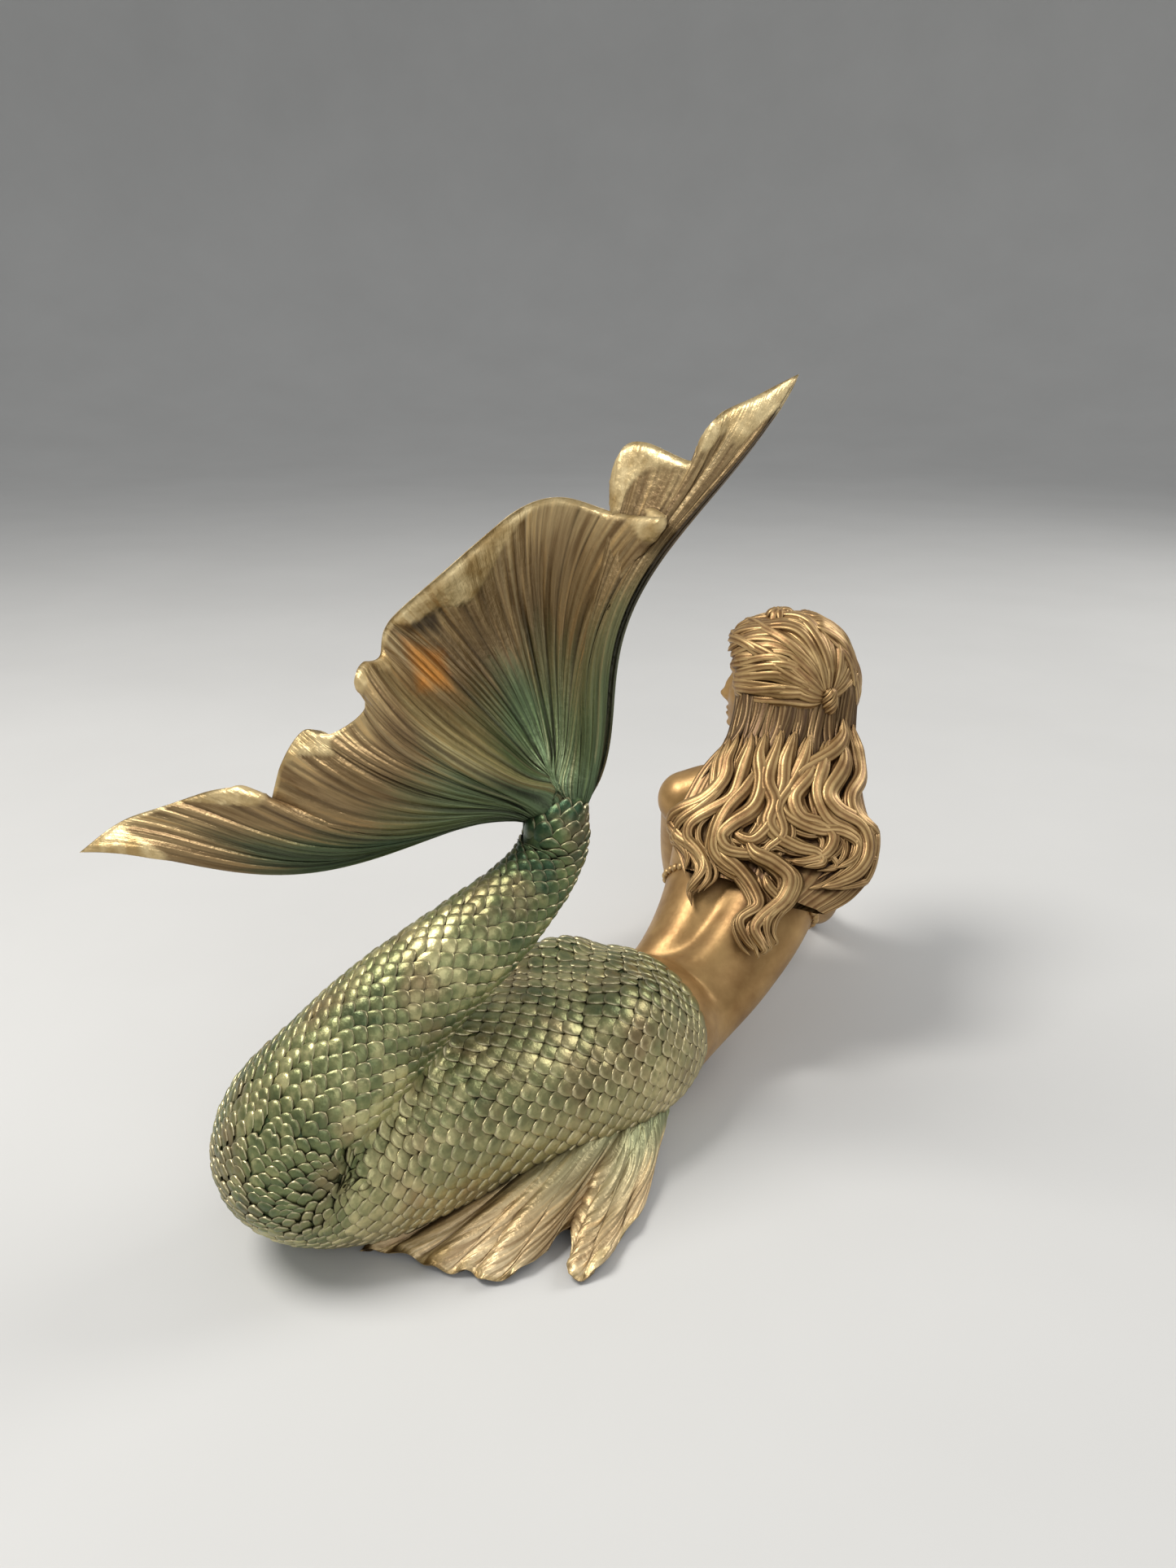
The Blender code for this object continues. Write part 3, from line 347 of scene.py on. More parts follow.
# Side and outward directions of sections: the side stays level and follows the turn
def section_axes(tangents, turns):
    tangents = unit(tangents)
    turns = np.radians(turns)
    level = np.stack([np.cos(turns), np.sin(turns), 0 * turns], axis=-1)
    sides = unit(level - tangents * np.sum(level * tangents, axis=-1, keepdims=True))
    return sides, np.cross(sides, tangents)


def rings_along(rows, widths, heights, turns, count):
    sides, outs = section_axes(np.gradient(rows[:, :3], axis=0), turns)
    angles = np.arange(count) * 2 * math.pi / count
    across = widths[:, None, None] * np.cos(angles)[None, :, None] * sides[:, None, :]
    outward = heights[:, None, None] * np.sin(angles)[None, :, None] * outs[:, None, :]
    return rows[:, None, :3] + across + outward


def grid_faces(rows, columns, wrapped=False):
    index = np.arange(rows * columns).reshape(rows, columns)
    if wrapped:
        index = np.hstack([index, index[:, :1]])
    corners = (index[:-1, :-1], index[1:, :-1], index[1:, 1:], index[:-1, 1:])
    return np.stack(corners, axis=-1).reshape(-1, 4)


# Points, faces and masks of one piece, gathered part by part
class Bundle:
    def __init__(self):
        self.points = []
        self.faces = []
        self.masks = {}
        self.count = 0

    def add(self, points, faces, **masks):
        self.points.append(points)
        self.faces.append(faces + self.count)
        for name, values in masks.items():
            self.masks.setdefault(name, []).append(np.broadcast_to(values, len(points)))
        self.count += len(points)

    def mesh(self, name):
        points = (np.vstack(self.points) + SHIFT) * MM
        points[:, 2] = np.maximum(points[:, 2], 0.0)
        mesh = bpy.data.meshes.new(name)
        mesh.from_pydata(points.tolist(), [], np.vstack(self.faces).tolist())
        for mask, values in self.masks.items():
            set_mask(mesh, mask, np.concatenate(values))
        return mesh


def set_mask(mesh, name, values):
    mesh.attributes.new(name, "FLOAT", "POINT").data.foreach_set("value", values.astype(float))


def make_piece(name, mesh, material):
    mesh.polygons.foreach_set("use_smooth", [True] * len(mesh.polygons))
    mesh.materials.clear()
    mesh.materials.append(material)
    mesh.update()
    piece = bpy.data.objects.new(name, mesh)
    bpy.context.scene.collection.objects.link(piece)
    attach(piece, "root")
    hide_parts("mermaid")
    return piece


WHITE = (1.0, 1.0, 1.0)
BLACK = (0.0, 0.0, 0.0)


def grey(level):
    return (level,) * 3


# One node material and the nodes that it is made of
class Paint:
    def __init__(self, name):
        self.material = bpy.data.materials.new(name)
        self.material.use_nodes = True
        self.nodes = self.material.node_tree.nodes
        self.shader = self.nodes["Principled BSDF"]

    # Gives a socket a number, a colour or the output of another node
    def feed(self, socket, value):
        if isinstance(value, (int, float)):
            socket.default_value = value
        elif isinstance(value, tuple):
            socket.default_value = (*value, 1.0)
        else:
            self.material.node_tree.links.new(value, socket)

    def mask(self, name):
        node = self.nodes.new("ShaderNodeAttribute")
        node.attribute_name = name
        return node.outputs["Fac"]

    def noise(self, scale, detail=4.0, roughness=0.55, place=None):
        if place is None:
            place = self.nodes.new("ShaderNodeTexCoord").outputs["Object"]
        node = self.nodes.new("ShaderNodeTexNoise")
        self.feed(node.inputs["Scale"], scale)
        self.feed(node.inputs["Detail"], detail)
        self.feed(node.inputs["Roughness"], roughness)
        self.feed(node.inputs["Vector"], place)
        return node.outputs["Fac"]

    # Noise drawn out along the rays of a fan
    def streaks(self, across_scale, along_scale):
        place = self.nodes.new("ShaderNodeCombineXYZ")
        self.feed(place.inputs["X"], self.times(self.mask("share"), across_scale))
        self.feed(place.inputs["Y"], self.times(self.mask("along"), along_scale))
        return self.noise(1.0, 5.0, 0.5, place.outputs["Vector"])

    def math(self, operation, first, second=0.0):
        node = self.nodes.new("ShaderNodeMath")
        node.operation = operation
        self.feed(node.inputs[0], first)
        self.feed(node.inputs[1], second)
        return node.outputs["Value"]

    def add(self, first, second):
        return self.math("ADD", first, second)

    def times(self, first, second):
        return self.math("MULTIPLY", first, second)

    # How many spreads a value lies from a middle
    def far_from(self, value, middle, spread):
        apart = self.math("ABSOLUTE", self.math("SUBTRACT", value, middle))
        return self.math("DIVIDE", apart, spread)

    def ramp(self, value, stops):
        node = self.nodes.new("ShaderNodeValToRGB")
        elements = node.color_ramp.elements
        while len(elements) < len(stops):
            elements.new(0.5)
        for element, (place, colour) in zip(elements, stops):
            element.position = place
            element.color = (*colour, 1.0)
        self.feed(node.inputs["Fac"], value)
        return node.outputs["Color"]

    def mix(self, share, first, second, blend="MIX"):
        node = self.nodes.new("ShaderNodeMix")
        node.data_type = "RGBA"
        node.blend_type = blend
        for number, value in ((0, share), (6, first), (7, second)):
            self.feed(node.inputs[number], value)
        return node.outputs[2]

    # Multiplies a colour by a tint where a value is low, and by less and less up to high
    def shaded(self, colour, value, low, tint, high, share=1.0):
        return self.mix(share, colour, self.ramp(value, [(low, tint), (high, WHITE)]), "MULTIPLY")

    def bump(self, height, strength, distance):
        node = self.nodes.new("ShaderNodeBump")
        self.feed(node.inputs["Strength"], strength)
        self.feed(node.inputs["Distance"], distance)
        self.feed(node.inputs["Height"], height)
        return node.outputs["Normal"]

    # Low in recesses narrower than a distance in metres, by ambient occlusion; where it darkens a colour it
    # paints shade into the recesses
    def occlusion_shade(self, distance):
        node = self.nodes.new("ShaderNodeAmbientOcclusion")
        self.feed(node.inputs["Distance"], distance)
        node.samples = 6
        return node.outputs["AO"]

    def finish(self, colour, roughness, metallic, normal):
        worn = self.add(self.times(self.noise(900.0), 0.2), roughness - 0.1)
        for name, value in (("Base Color", colour), ("Normal", normal), ("Metallic", metallic),
                            ("Roughness", worn)):
            self.feed(self.shader.inputs[name], value)
        return self.material


def skin_material():
    paint = Paint("bronze_skin")
    colour = paint.ramp(paint.noise(120.0, 6.0), [(0.3, (0.30, 0.165, 0.055)), (0.7, (0.50, 0.31, 0.12))])
    # Painted shade: the skin is darkened in its creases and close to other parts, by ambient occlusion
    colour = paint.shaded(colour, paint.occlusion_shade(0.006), 0.25, (0.33, 0.24, 0.18), 0.85)
    return paint.finish(colour, 0.4, 0.55, paint.bump(paint.noise(700.0), 0.12, 0.0004))


def hair_material():
    paint = Paint("gold_hair")
    colour = paint.ramp(paint.noise(160.0, 5.0), [(0.3, (0.36, 0.21, 0.08)), (0.7, (0.62, 0.43, 0.19))])
    # Painted shade: where the shade mask is high the hair turns dark brown, on the plain cap under the
    # strands, the curtain under the band and the short strands below the band's ends
    colour = paint.mix(paint.times(paint.mask("shade"), 0.8), colour, (0.085, 0.045, 0.016))
    # Painted shade in the grooves between the ridges of each strand, where the ridge mask is low
    colour = paint.shaded(colour, paint.mask("ridge"), 0.0, (0.34, 0.24, 0.16), 0.75)
    # Painted shade between strands and locks, by ambient occlusion
    colour = paint.shaded(colour, paint.occlusion_shade(0.004), 0.3, (0.22, 0.14, 0.08), 0.8)
    return paint.finish(colour, 0.4, 0.55, paint.bump(paint.noise(1200.0), 0.2, 0.0003))


def scale_material():
    paint = Paint("green_scales")
    tone = paint.add(paint.times(paint.mask("tone"), 0.16), paint.noise(60.0, 6.0, 0.62))
    tone = paint.add(tone, paint.times(paint.noise(450.0), 0.45))
    green = paint.ramp(tone, [(0.55, (0.024, 0.060, 0.026)), (0.80, (0.115, 0.165, 0.058)),
                              (1.0, (0.42, 0.42, 0.18))])
    olive = paint.ramp(tone, [(0.55, (0.15, 0.17, 0.070)), (0.80, (0.35, 0.32, 0.145)),
                              (1.0, (0.68, 0.58, 0.31))])
    colour = paint.mix(paint.mask("pale"), green, olive)
    gilded = paint.ramp(paint.mask("pale"), [(0.50, BLACK), (1.0, grey(0.65))])
    colour = paint.mix(gilded, colour, (0.56, 0.42, 0.21))
    rust = paint.ramp(paint.noise(80.0, 3.0), [(0.50, BLACK), (0.72, grey(0.6))])
    colour = paint.mix(rust, colour, (0.27, 0.165, 0.085))
    colour = paint.mix(paint.times(paint.mask("edge"), 0.9), colour, (0.78, 0.68, 0.42))
    # Painted shade in the gaps under and between the scales, by ambient occlusion
    colour = paint.shaded(colour, paint.occlusion_shade(0.0020), 0.35, (0.10, 0.09, 0.06), 0.85)
    rough = paint.add(paint.noise(900.0), paint.noise(300.0))
    return paint.finish(colour, 0.34, 0.62, paint.bump(rough, 0.35, 0.0004))


def fan_material(name, stops, streaks, grooves, patches):
    paint = Paint(name)
    along = paint.mask("along")
    share = paint.mask("share")
    lines = paint.streaks(streaks, 2.5)
    drift = paint.add(paint.times(paint.noise(30.0, 5.0), 0.42), paint.times(lines, 0.42))
    colour = paint.ramp(paint.math("SUBTRACT", paint.add(along, drift), 0.42), stops)
    for middle, spread, way, reach, tint, amount in patches:
        spot = paint.add(paint.far_from(share, middle, spread), paint.far_from(along, way, reach))
        spot = paint.ramp(paint.add(spot, drift), [(0.70, grey(amount)), (1.0, BLACK)])
        colour = paint.mix(spot, colour, tint)
    fine = paint.ramp(lines, [(0.36, (0.50, 0.43, 0.36)), (0.55, WHITE), (0.70, (1.35, 1.25, 1.1))])
    colour = paint.mix(0.85, colour, fine, "MULTIPLY")
    # Painted shade in the grooves between the ribs of the fan, where the ridge mask is low
    colour = paint.shaded(colour, paint.mask("ridge"), 0.0, (0.16, 0.13, 0.10), 0.40, grooves)
    worn = paint.ramp(paint.mask("ridge"), [(0.8, BLACK), (1.0, grey(0.25))])
    colour = paint.mix(worn, colour, (0.60, 0.50, 0.28))
    gold = paint.ramp(paint.noise(160.0, 4.0), [(0.35, (0.46, 0.31, 0.12)), (0.62, (0.86, 0.68, 0.36))])
    colour = paint.mix(paint.times(paint.mask("rim"), 0.85), colour, gold)
    # Darker in the hollows and folds of the fan by ambient occlusion: partly the dark wash of the patina,
    # partly painted shade
    colour = paint.shaded(colour, paint.occlusion_shade(0.010), 0.2, (0.30, 0.24, 0.18), 0.8)
    rough = paint.add(paint.times(lines, 2.5), paint.noise(700.0))
    return paint.finish(colour, 0.38, 0.55, paint.bump(rough, 0.5, 0.0005))


# Flesh forms that are fused into one skin
def add_rings(bm, rings):
    rows = [[bm.verts.new(Vector(point)) for point in ring] for ring in rings]
    for lower, upper in zip(rows, rows[1:]):
        for index in range(len(lower)):
            after = (index + 1) % len(lower)
            bm.faces.new((lower[index], lower[after], upper[after], upper[index]))
    bm.faces.new(rows[0][::-1])
    bm.faces.new(rows[-1])


def add_ball(bm, centre, radii):
    place = Matrix.Translation(Vector(centre)) @ Matrix.Diagonal((*radii, 1.0))
    bmesh.ops.create_uvsphere(bm, u_segments=48, v_segments=24, radius=1.0, matrix=place)


def add_limb(bm, stations, count=24):
    rows = smooth_rows(stations, 10)
    add_rings(bm, rings_along(rows, rows[:, 3], rows[:, 3], np.zeros(len(rows)), count))


def fused_mesh(name, bm, voxel, passes):
    for vert in bm.verts:
        vert.co = (vert.co + Vector(SHIFT)) * MM
    bmesh.ops.recalc_face_normals(bm, faces=bm.faces[:])
    rough = bpy.data.meshes.new(name + "_rough")
    bm.to_mesh(rough)
    bm.free()
    obj = bpy.data.objects.new(name + "_rough", rough)
    bpy.context.scene.collection.objects.link(obj)
    fuse = obj.modifiers.new("fuse", "REMESH")
    fuse.mode = "VOXEL"
    fuse.voxel_size = voxel * MM
    relax = obj.modifiers.new("relax", "SMOOTH")
    relax.factor = 0.5
    relax.iterations = passes
    graph = bpy.context.evaluated_depsgraph_get()
    graph.update()
    mesh = bpy.data.meshes.new_from_object(obj.evaluated_get(graph))
    mesh.name = name
    bpy.data.objects.remove(obj, do_unlink=True)
    for vert in mesh.vertices:
        vert.co.z = max(vert.co.z, 0.0)
    return mesh


def mesh_points(mesh):
    flat = np.empty(len(mesh.vertices) * 3)
    mesh.vertices.foreach_get("co", flat)
    return flat.reshape(-1, 3) / MM - SHIFT


def gauss(values, middle, spread):
    return np.exp(-((values - middle) / spread) ** 2)


# Torso sections with the furrow of the spine and the shoulder blades
def torso_rings(count=96):
    rows = smooth_rows(TORSO_STATIONS, 10)
    rings = rings_along(rows, rows[:, 3], rows[:, 4], rows[:, 5], count)
    places = np.linspace(0, len(TORSO_STATIONS) - 1, len(rows))[:, None]
    angles = np.degrees(np.arange(count) * 2 * math.pi / count)[None, :]
    spine = 90.0 + 42.0 * np.clip((2.9 - places) / 1.5, 0, 1) ** 1.5
    furrow = gauss(angles, spine, 12.0) * gauss(places, 3.4, 1.9) * -2.0
    flanks = gauss(angles, spine - 32.0, 22.0) + gauss(angles, spine + 32.0, 22.0)
    flanks = flanks * gauss(places, 3.6, 2.0) * 0.7
    blades = (gauss(angles, 55.0, 14.0) + gauss(angles, 125.0, 14.0)) * gauss(places, 5.6, 0.8) * 1.1
    outs = unit(rings - rows[:, None, :3])
    return rings + outs * (furrow + flanks + blades)[:, :, None]


# A breast under a ribbed shell whose ribs fan from its lower edge
def add_bust(bm, centre):
    start = len(bm.verts)
    add_ball(bm, centre, (BUST_RADIUS,) * 3)
    bm.verts.ensure_lookup_table()
    middle = Vector(centre)
    for vert in bm.verts[start:]:
        offset = vert.co - middle
        direction = offset.normalized()
        rib = 0.5 + 0.5 * math.cos(2 * SHELL_RIBS * math.atan2(direction.x, SHELL_HINGE - direction.z))
        vert.co = middle + offset * (1 + rib * SHELL_PROUD / BUST_RADIUS)


def add_bar(bm, start, end, radii):
    middle = (start + end) / 2
    add_limb(bm, [(*point, radius) for point, radius in zip((start, middle, end), radii)], 16)


def add_hand(bm, wrist, direction, spread, thumb_side):
    wrist = np.array(wrist)
    direction = unit(np.array(direction))
    spread = unit(np.array(spread))
    normal = unit(np.cross(direction, spread))
    if normal[2] < 0:
        normal = -normal
    axes = Matrix([Vector(axis) for axis in (direction, spread, normal)]).transposed()
    place = Matrix.Translation(Vector(wrist + direction * PALM_PLACE)) @ axes.to_4x4()
    place = place @ Matrix.Diagonal((*PALM_RADII, 1.0))
    bmesh.ops.create_uvsphere(bm, u_segments=32, v_segments=16, radius=1.0, matrix=place)
    for number, length in enumerate(FINGER_LENGTHS):
        knuckle = wrist + direction * KNUCKLE_PLACE + spread * FINGER_SPACING * (number - 1.5) * -thumb_side
        add_bar(bm, knuckle, knuckle + direction * length - normal * FINGER_DROOP, FINGER_RADII)
    start = wrist + direction * THUMB_START[0] + spread * THUMB_START[1] * thumb_side
    end = wrist + direction * THUMB_END[0] + spread * THUMB_END[1] * thumb_side
    add_bar(bm, start, end, THUMB_RADII)


def upper_mesh():
    bm = bmesh.new()
    add_rings(bm, torso_rings())
    for place in BUST_PLACES:
        add_bust(bm, place)
    add_limb(bm, SHOULDER_LINE, 40)
    for stations in (RIGHT_ARM, LEFT_ARM):
        add_limb(bm, stations)
        add_ball(bm, stations[0][:3], (SHOULDER_RADIUS,) * 3)
    add_hand(bm, *RIGHT_HAND)
    add_hand(bm, *LEFT_HAND)
    return fused_mesh("upper_body", bm, 0.62, 4)


# The tail under its scales; it ends where the skin of the waist begins
def lower_mesh():
    bm = bmesh.new()
    rows = smooth_rows(TAIL_STATIONS, 10)
    add_rings(bm, rings_along(rows, rows[:, 3], rows[:, 4], np.zeros(len(rows)), 64))
    for centre in BUTTOCK_PLACES:
        add_ball(bm, centre, BUTTOCK_RADII)
    return fused_mesh("under_scales", bm, 1.1, 2)


# Draws a closed mesh in along its normals, by millimetres that change along the body
def shrink(mesh, ways, depths):
    amounts = np.interp(mesh_points(mesh)[:, 1], ways, depths) * MM
    moved = [vert.co - vert.normal * amount for vert, amount in zip(mesh.vertices, amounts)]
    for vert, place in zip(mesh.vertices, moved):
        vert.co = place


# Scales on the tail: the surface is read along rays from the middle line of the tail
TAIL_START = 0.15
TAIL_END = 15.3
SURFACE_ROWS = 460
SURFACE_SIDES = 144
# How far the surface may stand out from the plain section, on the hips and below them
HIP_SWELL = 14.0
HIPS_END = 4.6
TAIL_SWELL = 2.6
SLOPE_STEP = 0.04


class TailSurface:
    def __init__(self, mesh):
        points = mesh_points(mesh)
        faces = [tuple(face.vertices) for face in mesh.polygons]
        tree = BVHTree.FromPolygons([Vector(point) for point in points], faces)
        self.places = np.linspace(TAIL_START, TAIL_END, SURFACE_ROWS)
        rows = curve_at(TAIL_STATIONS, self.places)
        sides, outs = section_axes(np.gradient(rows[:, :3], axis=0), np.zeros(len(rows)))
        self.grid = np.zeros((SURFACE_ROWS, SURFACE_SIDES, 3))
        self.buried = np.zeros((SURFACE_ROWS, SURFACE_SIDES))
        for i, row in enumerate(rows):
            for j in range(SURFACE_SIDES):
                angle = 2 * math.pi * j / SURFACE_SIDES
                ray = sides[i] * row[3] * math.cos(angle) + outs[i] * row[4] * math.sin(angle)
                plain = np.linalg.norm(ray)
                hit = tree.ray_cast(Vector(row[:3]), Vector(ray))
                reach = hit[3] if hit[0] else plain
                allowed = HIP_SWELL if self.places[i] < HIPS_END else TAIL_SWELL
                self.buried[i, j] = reach - plain > allowed
                reach = min(reach, plain + allowed)
                self.grid[i, j] = row[:3] + ray / plain * reach

    # Points of the surface at places along the tail and angles around it in radians
    def read(self, places, angles, grid):
        u = (places - TAIL_START) / (TAIL_END - TAIL_START) * (SURFACE_ROWS - 1)
        u = np.clip(u, 0, SURFACE_ROWS - 1.001)
        v = (angles / (2 * math.pi) * SURFACE_SIDES) % SURFACE_SIDES
        i = np.floor(u).astype(int)
        j = np.floor(v).astype(int) % SURFACE_SIDES
        k = (j + 1) % SURFACE_SIDES
        fu = u - i
        fv = v - np.floor(v)
        if grid.ndim == 3:
            fu = fu[..., None]
            fv = fv[..., None]
        near = grid[i, j] * (1 - fv) + grid[i, k] * fv
        far = grid[i + 1, j] * (1 - fv) + grid[i + 1, k] * fv
        return near * (1 - fu) + far * fu

    def point(self, places, angles):
        return self.read(places, angles, self.grid)

    def frame_at(self, places, angles):
        along = self.point(places + SLOPE_STEP, angles) - self.point(places - SLOPE_STEP, angles)
        around = self.point(places, angles + SLOPE_STEP) - self.point(places, angles - SLOPE_STEP)
        return along / (2 * SLOPE_STEP), around / (2 * SLOPE_STEP)


SCALE_ACROSS = np.array([-1.0, -0.74, -0.40, 0.0, 0.40, 0.74, 1.0])
SCALE_ALONG = np.array([0.0, 0.35, 0.62, 0.82, 0.94, 1.0])
# A scale reaches over this many rows; its sides fall back by this share of its length
SCALE_REACH = 2.35
SCALE_SHOULDER = 0.43
# Where the rows close up on the inside of a fold the scales lie scattered, this far apart in widths
PINCHED = 1.25
SCATTER = 0.52
FOLD_START = 4.8
FOLD_END = 8.0
SQUEEZED = 0.45
# The flat underside has no scales
UNDERSIDE = 0.4
# Rows follow each other by this share of a scale's width, found in steps along the tail
ROW_SPACING = 0.52
ROW_STEP = 0.02


# One scale: across in half widths, along in lengths, lift in millimetres and the gilt of its edge
def scale_template():
    across, along = np.meshgrid(SCALE_ACROSS, SCALE_ALONG)
    aside = np.abs(across)
    fall = 0.55 * (1 - np.sqrt(1 - (0.98 * aside) ** 2)) / (1 - math.sqrt(1 - 0.98 ** 2))
    fall = fall + 0.45 * aside ** 1.4
    edge = 1 - SCALE_SHOULDER * fall
    crown = 0.42 * (1 - across ** 2) * np.sin(math.pi * np.clip(along, 0, 0.97) ** 1.7)
    lift = -0.76 + 0.95 * along - 0.20 * (along > 0.97) + crown - 0.34 * across ** 4
    gilt = np.clip((along - 0.93) / 0.07, 0, 1)
    reach = along * edge
    wide = across * (0.88 + 0.14 * np.minimum(along * 1.6, 1))
    wide = np.vstack([wide, wide[-1:] * 1.01])
    reach = np.vstack([reach, reach[-1:] + 0.012])
    lift = np.vstack([lift, lift[-1:] - 0.55])
    gilt = np.vstack([gilt, gilt[-1:] * 0.2])
    return wide.ravel(), reach.ravel(), lift.ravel(), gilt.ravel()


def scale_width(place):
    return float(np.interp(place, [0.0, 2.0, 4.8, 5.8, 6.8, 7.8, 10.0, 12.5, 15.0],
                           [4.2, 4.7, 4.7, 3.5, 3.5, 4.6, 4.6, 5.0, 4.7]))


def scale_rows(surface, start, end):
    rows = []
    count = 0
    place = start
    ring = np.linspace(0, 2 * math.pi, 49)
    while place < end:
        points = surface.point(np.full(len(ring), place), ring)
        girth = np.sum(np.linalg.norm(np.diff(points, axis=0), axis=1))
        wanted = girth / scale_width(place)
        if abs(wanted - count) > 2.0:
            count = round(wanted)
        rows.append((place, count, girth / count))
        travelled = 0.0
        while travelled < ROW_SPACING * girth / count and place < end:
            after = surface.point(np.full(len(ring), place + ROW_STEP), ring)
            hidden = surface.read(np.full(len(ring), place), ring, surface.buried) > 0.5
            gaps = np.linalg.norm(after - points, axis=1)
            gaps[hidden] = 0
            travelled += np.percentile(gaps, 92)
            points = after
            place += ROW_STEP
    return rows


def add_scales(bundle, surface, rows, first, last):
    wide, reach, lift, gilt = scale_template()
    faces = grid_faces(len(SCALE_ALONG) + 1, len(SCALE_ACROSS))
    scattered = np.zeros((0, 3))
    for number in range(first, last):
        place, count, width = rows[number]
        following = rows[min(number + 1, len(rows) - 1)][0]
        ahead = max(following - place, 0.02)
        jitter = 0.35 if 5.6 < place < 7.2 else 0.08
        for index in range(count):
            angle = 2 * math.pi * (index + 0.5 * (number % 2)) / count
            angle += draws.normal(0, jitter * 0.12)
            shift = draws.normal(0, jitter * 0.10) * ahead
            tone = draws.uniform(0, 1) - 1.3 * np.clip((place - 11.5) / 1.5, 0, 1)
            size = draws.uniform(0.97, 1.05)
            tilt = draws.normal(0, 0.10)
            spot = np.array([place + shift])
            if surface.read(spot, np.array([angle]), surface.buried)[0] > 0.3:
                continue
            along, around = surface.frame_at(spot, np.array([angle]))
            stretch = np.linalg.norm(along[0])
            half = 0.5 * width * size / max(np.linalg.norm(around[0]), 1e-6)
            exposed = ahead * stretch
            centre = surface.point(spot, np.array([angle]))
            if centre[0, 2] < UNDERSIDE or exposed < SQUEEZED:
                continue
            if exposed < PINCHED and FOLD_START < place < FOLD_END:
                if np.any(np.linalg.norm(scattered - centre, axis=1) < SCATTER * width):
                    continue
                scattered = np.vstack([scattered, centre])
                onward = unit(along[0])
                aside = unit(around[0])
                out = unit(np.cross(onward, aside))
                flat = centre + onward * (reach * 0.9 * width)[:, None]
                flat = flat + aside * (wide * 0.42 * width)[:, None]
                bundle.add(flat + out * (lift * 0.7)[:, None], faces, edge=gilt, tone=tone, pale=0.25)
                continue
            length = min(SCALE_REACH * exposed, 1.5 * width) / max(stretch, 1e-6) * size
            places = spot + reach * length
            angles = angle + wide * half
            points = surface.point(places, angles)
            alongs, arounds = surface.frame_at(places, angles)
            outs = unit(np.cross(alongs, arounds))
            raised = lift * min(1.0, exposed / 1.4 + 0.2) * width / 4.4
            points = points + outs * (raised + tilt * (reach > 0.5) * 0.6)[:, None]
            pale = np.full(len(points), scale_pale(place, angle))
            bundle.add(points, faces, edge=gilt, tone=tone, pale=pale)


# How far the green gives way to pale gold: most on the top of the hips, least at the stem
def scale_pale(place, angle):
    top = 0.5 + 0.5 * math.sin(angle)
    thigh = float(np.interp(place, [0, 2.5, 5, 6.2, 7, 10, 12.5, 15],
                            [1.0, 1.0, 0.85, 0.2, 0.35, 0.55, 0.05, 0.0]))
    return thigh * (0.45 + 0.55 * top)


def tail_pieces(material):
    mesh = lower_mesh()
    surface = TailSurface(mesh)
    shrink(mesh, [96.5, 99.5], [0.6, 2.4])
    set_mask(mesh, "edge", np.zeros(len(mesh.vertices)))
    set_mask(mesh, "tone", np.zeros(len(mesh.vertices)))
    set_mask(mesh, "pale", np.zeros(len(mesh.vertices)))
    make_piece("under_scales", mesh, material)
    rows = scale_rows(surface, 0.3, 14.9)
    middle = next(number for number, row in enumerate(rows) if row[0] > 5.9)
    for name, first, last in (("thigh_scales", 0, middle), ("calf_scales", middle, len(rows))):
        bundle = Bundle()
        add_scales(bundle, surface, rows, first, last)
        make_piece(name, bundle.mesh(name), material)


# Ridges of uneven width, read across a fan from zero to one
def fan_ridges(shares, number):
    widths = draws.uniform(0.5, 1.5, number)
    borders = np.concatenate([[0], np.cumsum(widths)]) / np.sum(widths)
    amounts = draws.uniform(0.45, 1.0, number)
    index = np.clip(np.searchsorted(borders, shares, side="right") - 1, 0, number - 1)
    phase = (shares - borders[index]) / (borders[index + 1] - borders[index])
    return np.sin(math.pi * np.clip(phase, 0, 1)) ** 0.55 * amounts[index]


# Soft noise over a fan: sums of waves with drawn lengths and phases, between about -1 and 1
def fan_waves(shares, t, across_waves, along_waves, number):
    total = np.zeros(np.broadcast(shares, t).shape)
    for _ in range(number):
        first = draws.uniform(0.4, 1.0) * across_waves * 2 * math.pi
        second = draws.uniform(-1.0, 1.0) * along_waves * 2 * math.pi
        total = total + np.sin(first * shares + second * t + draws.uniform(0, 2 * math.pi))
    return total / math.sqrt(number)


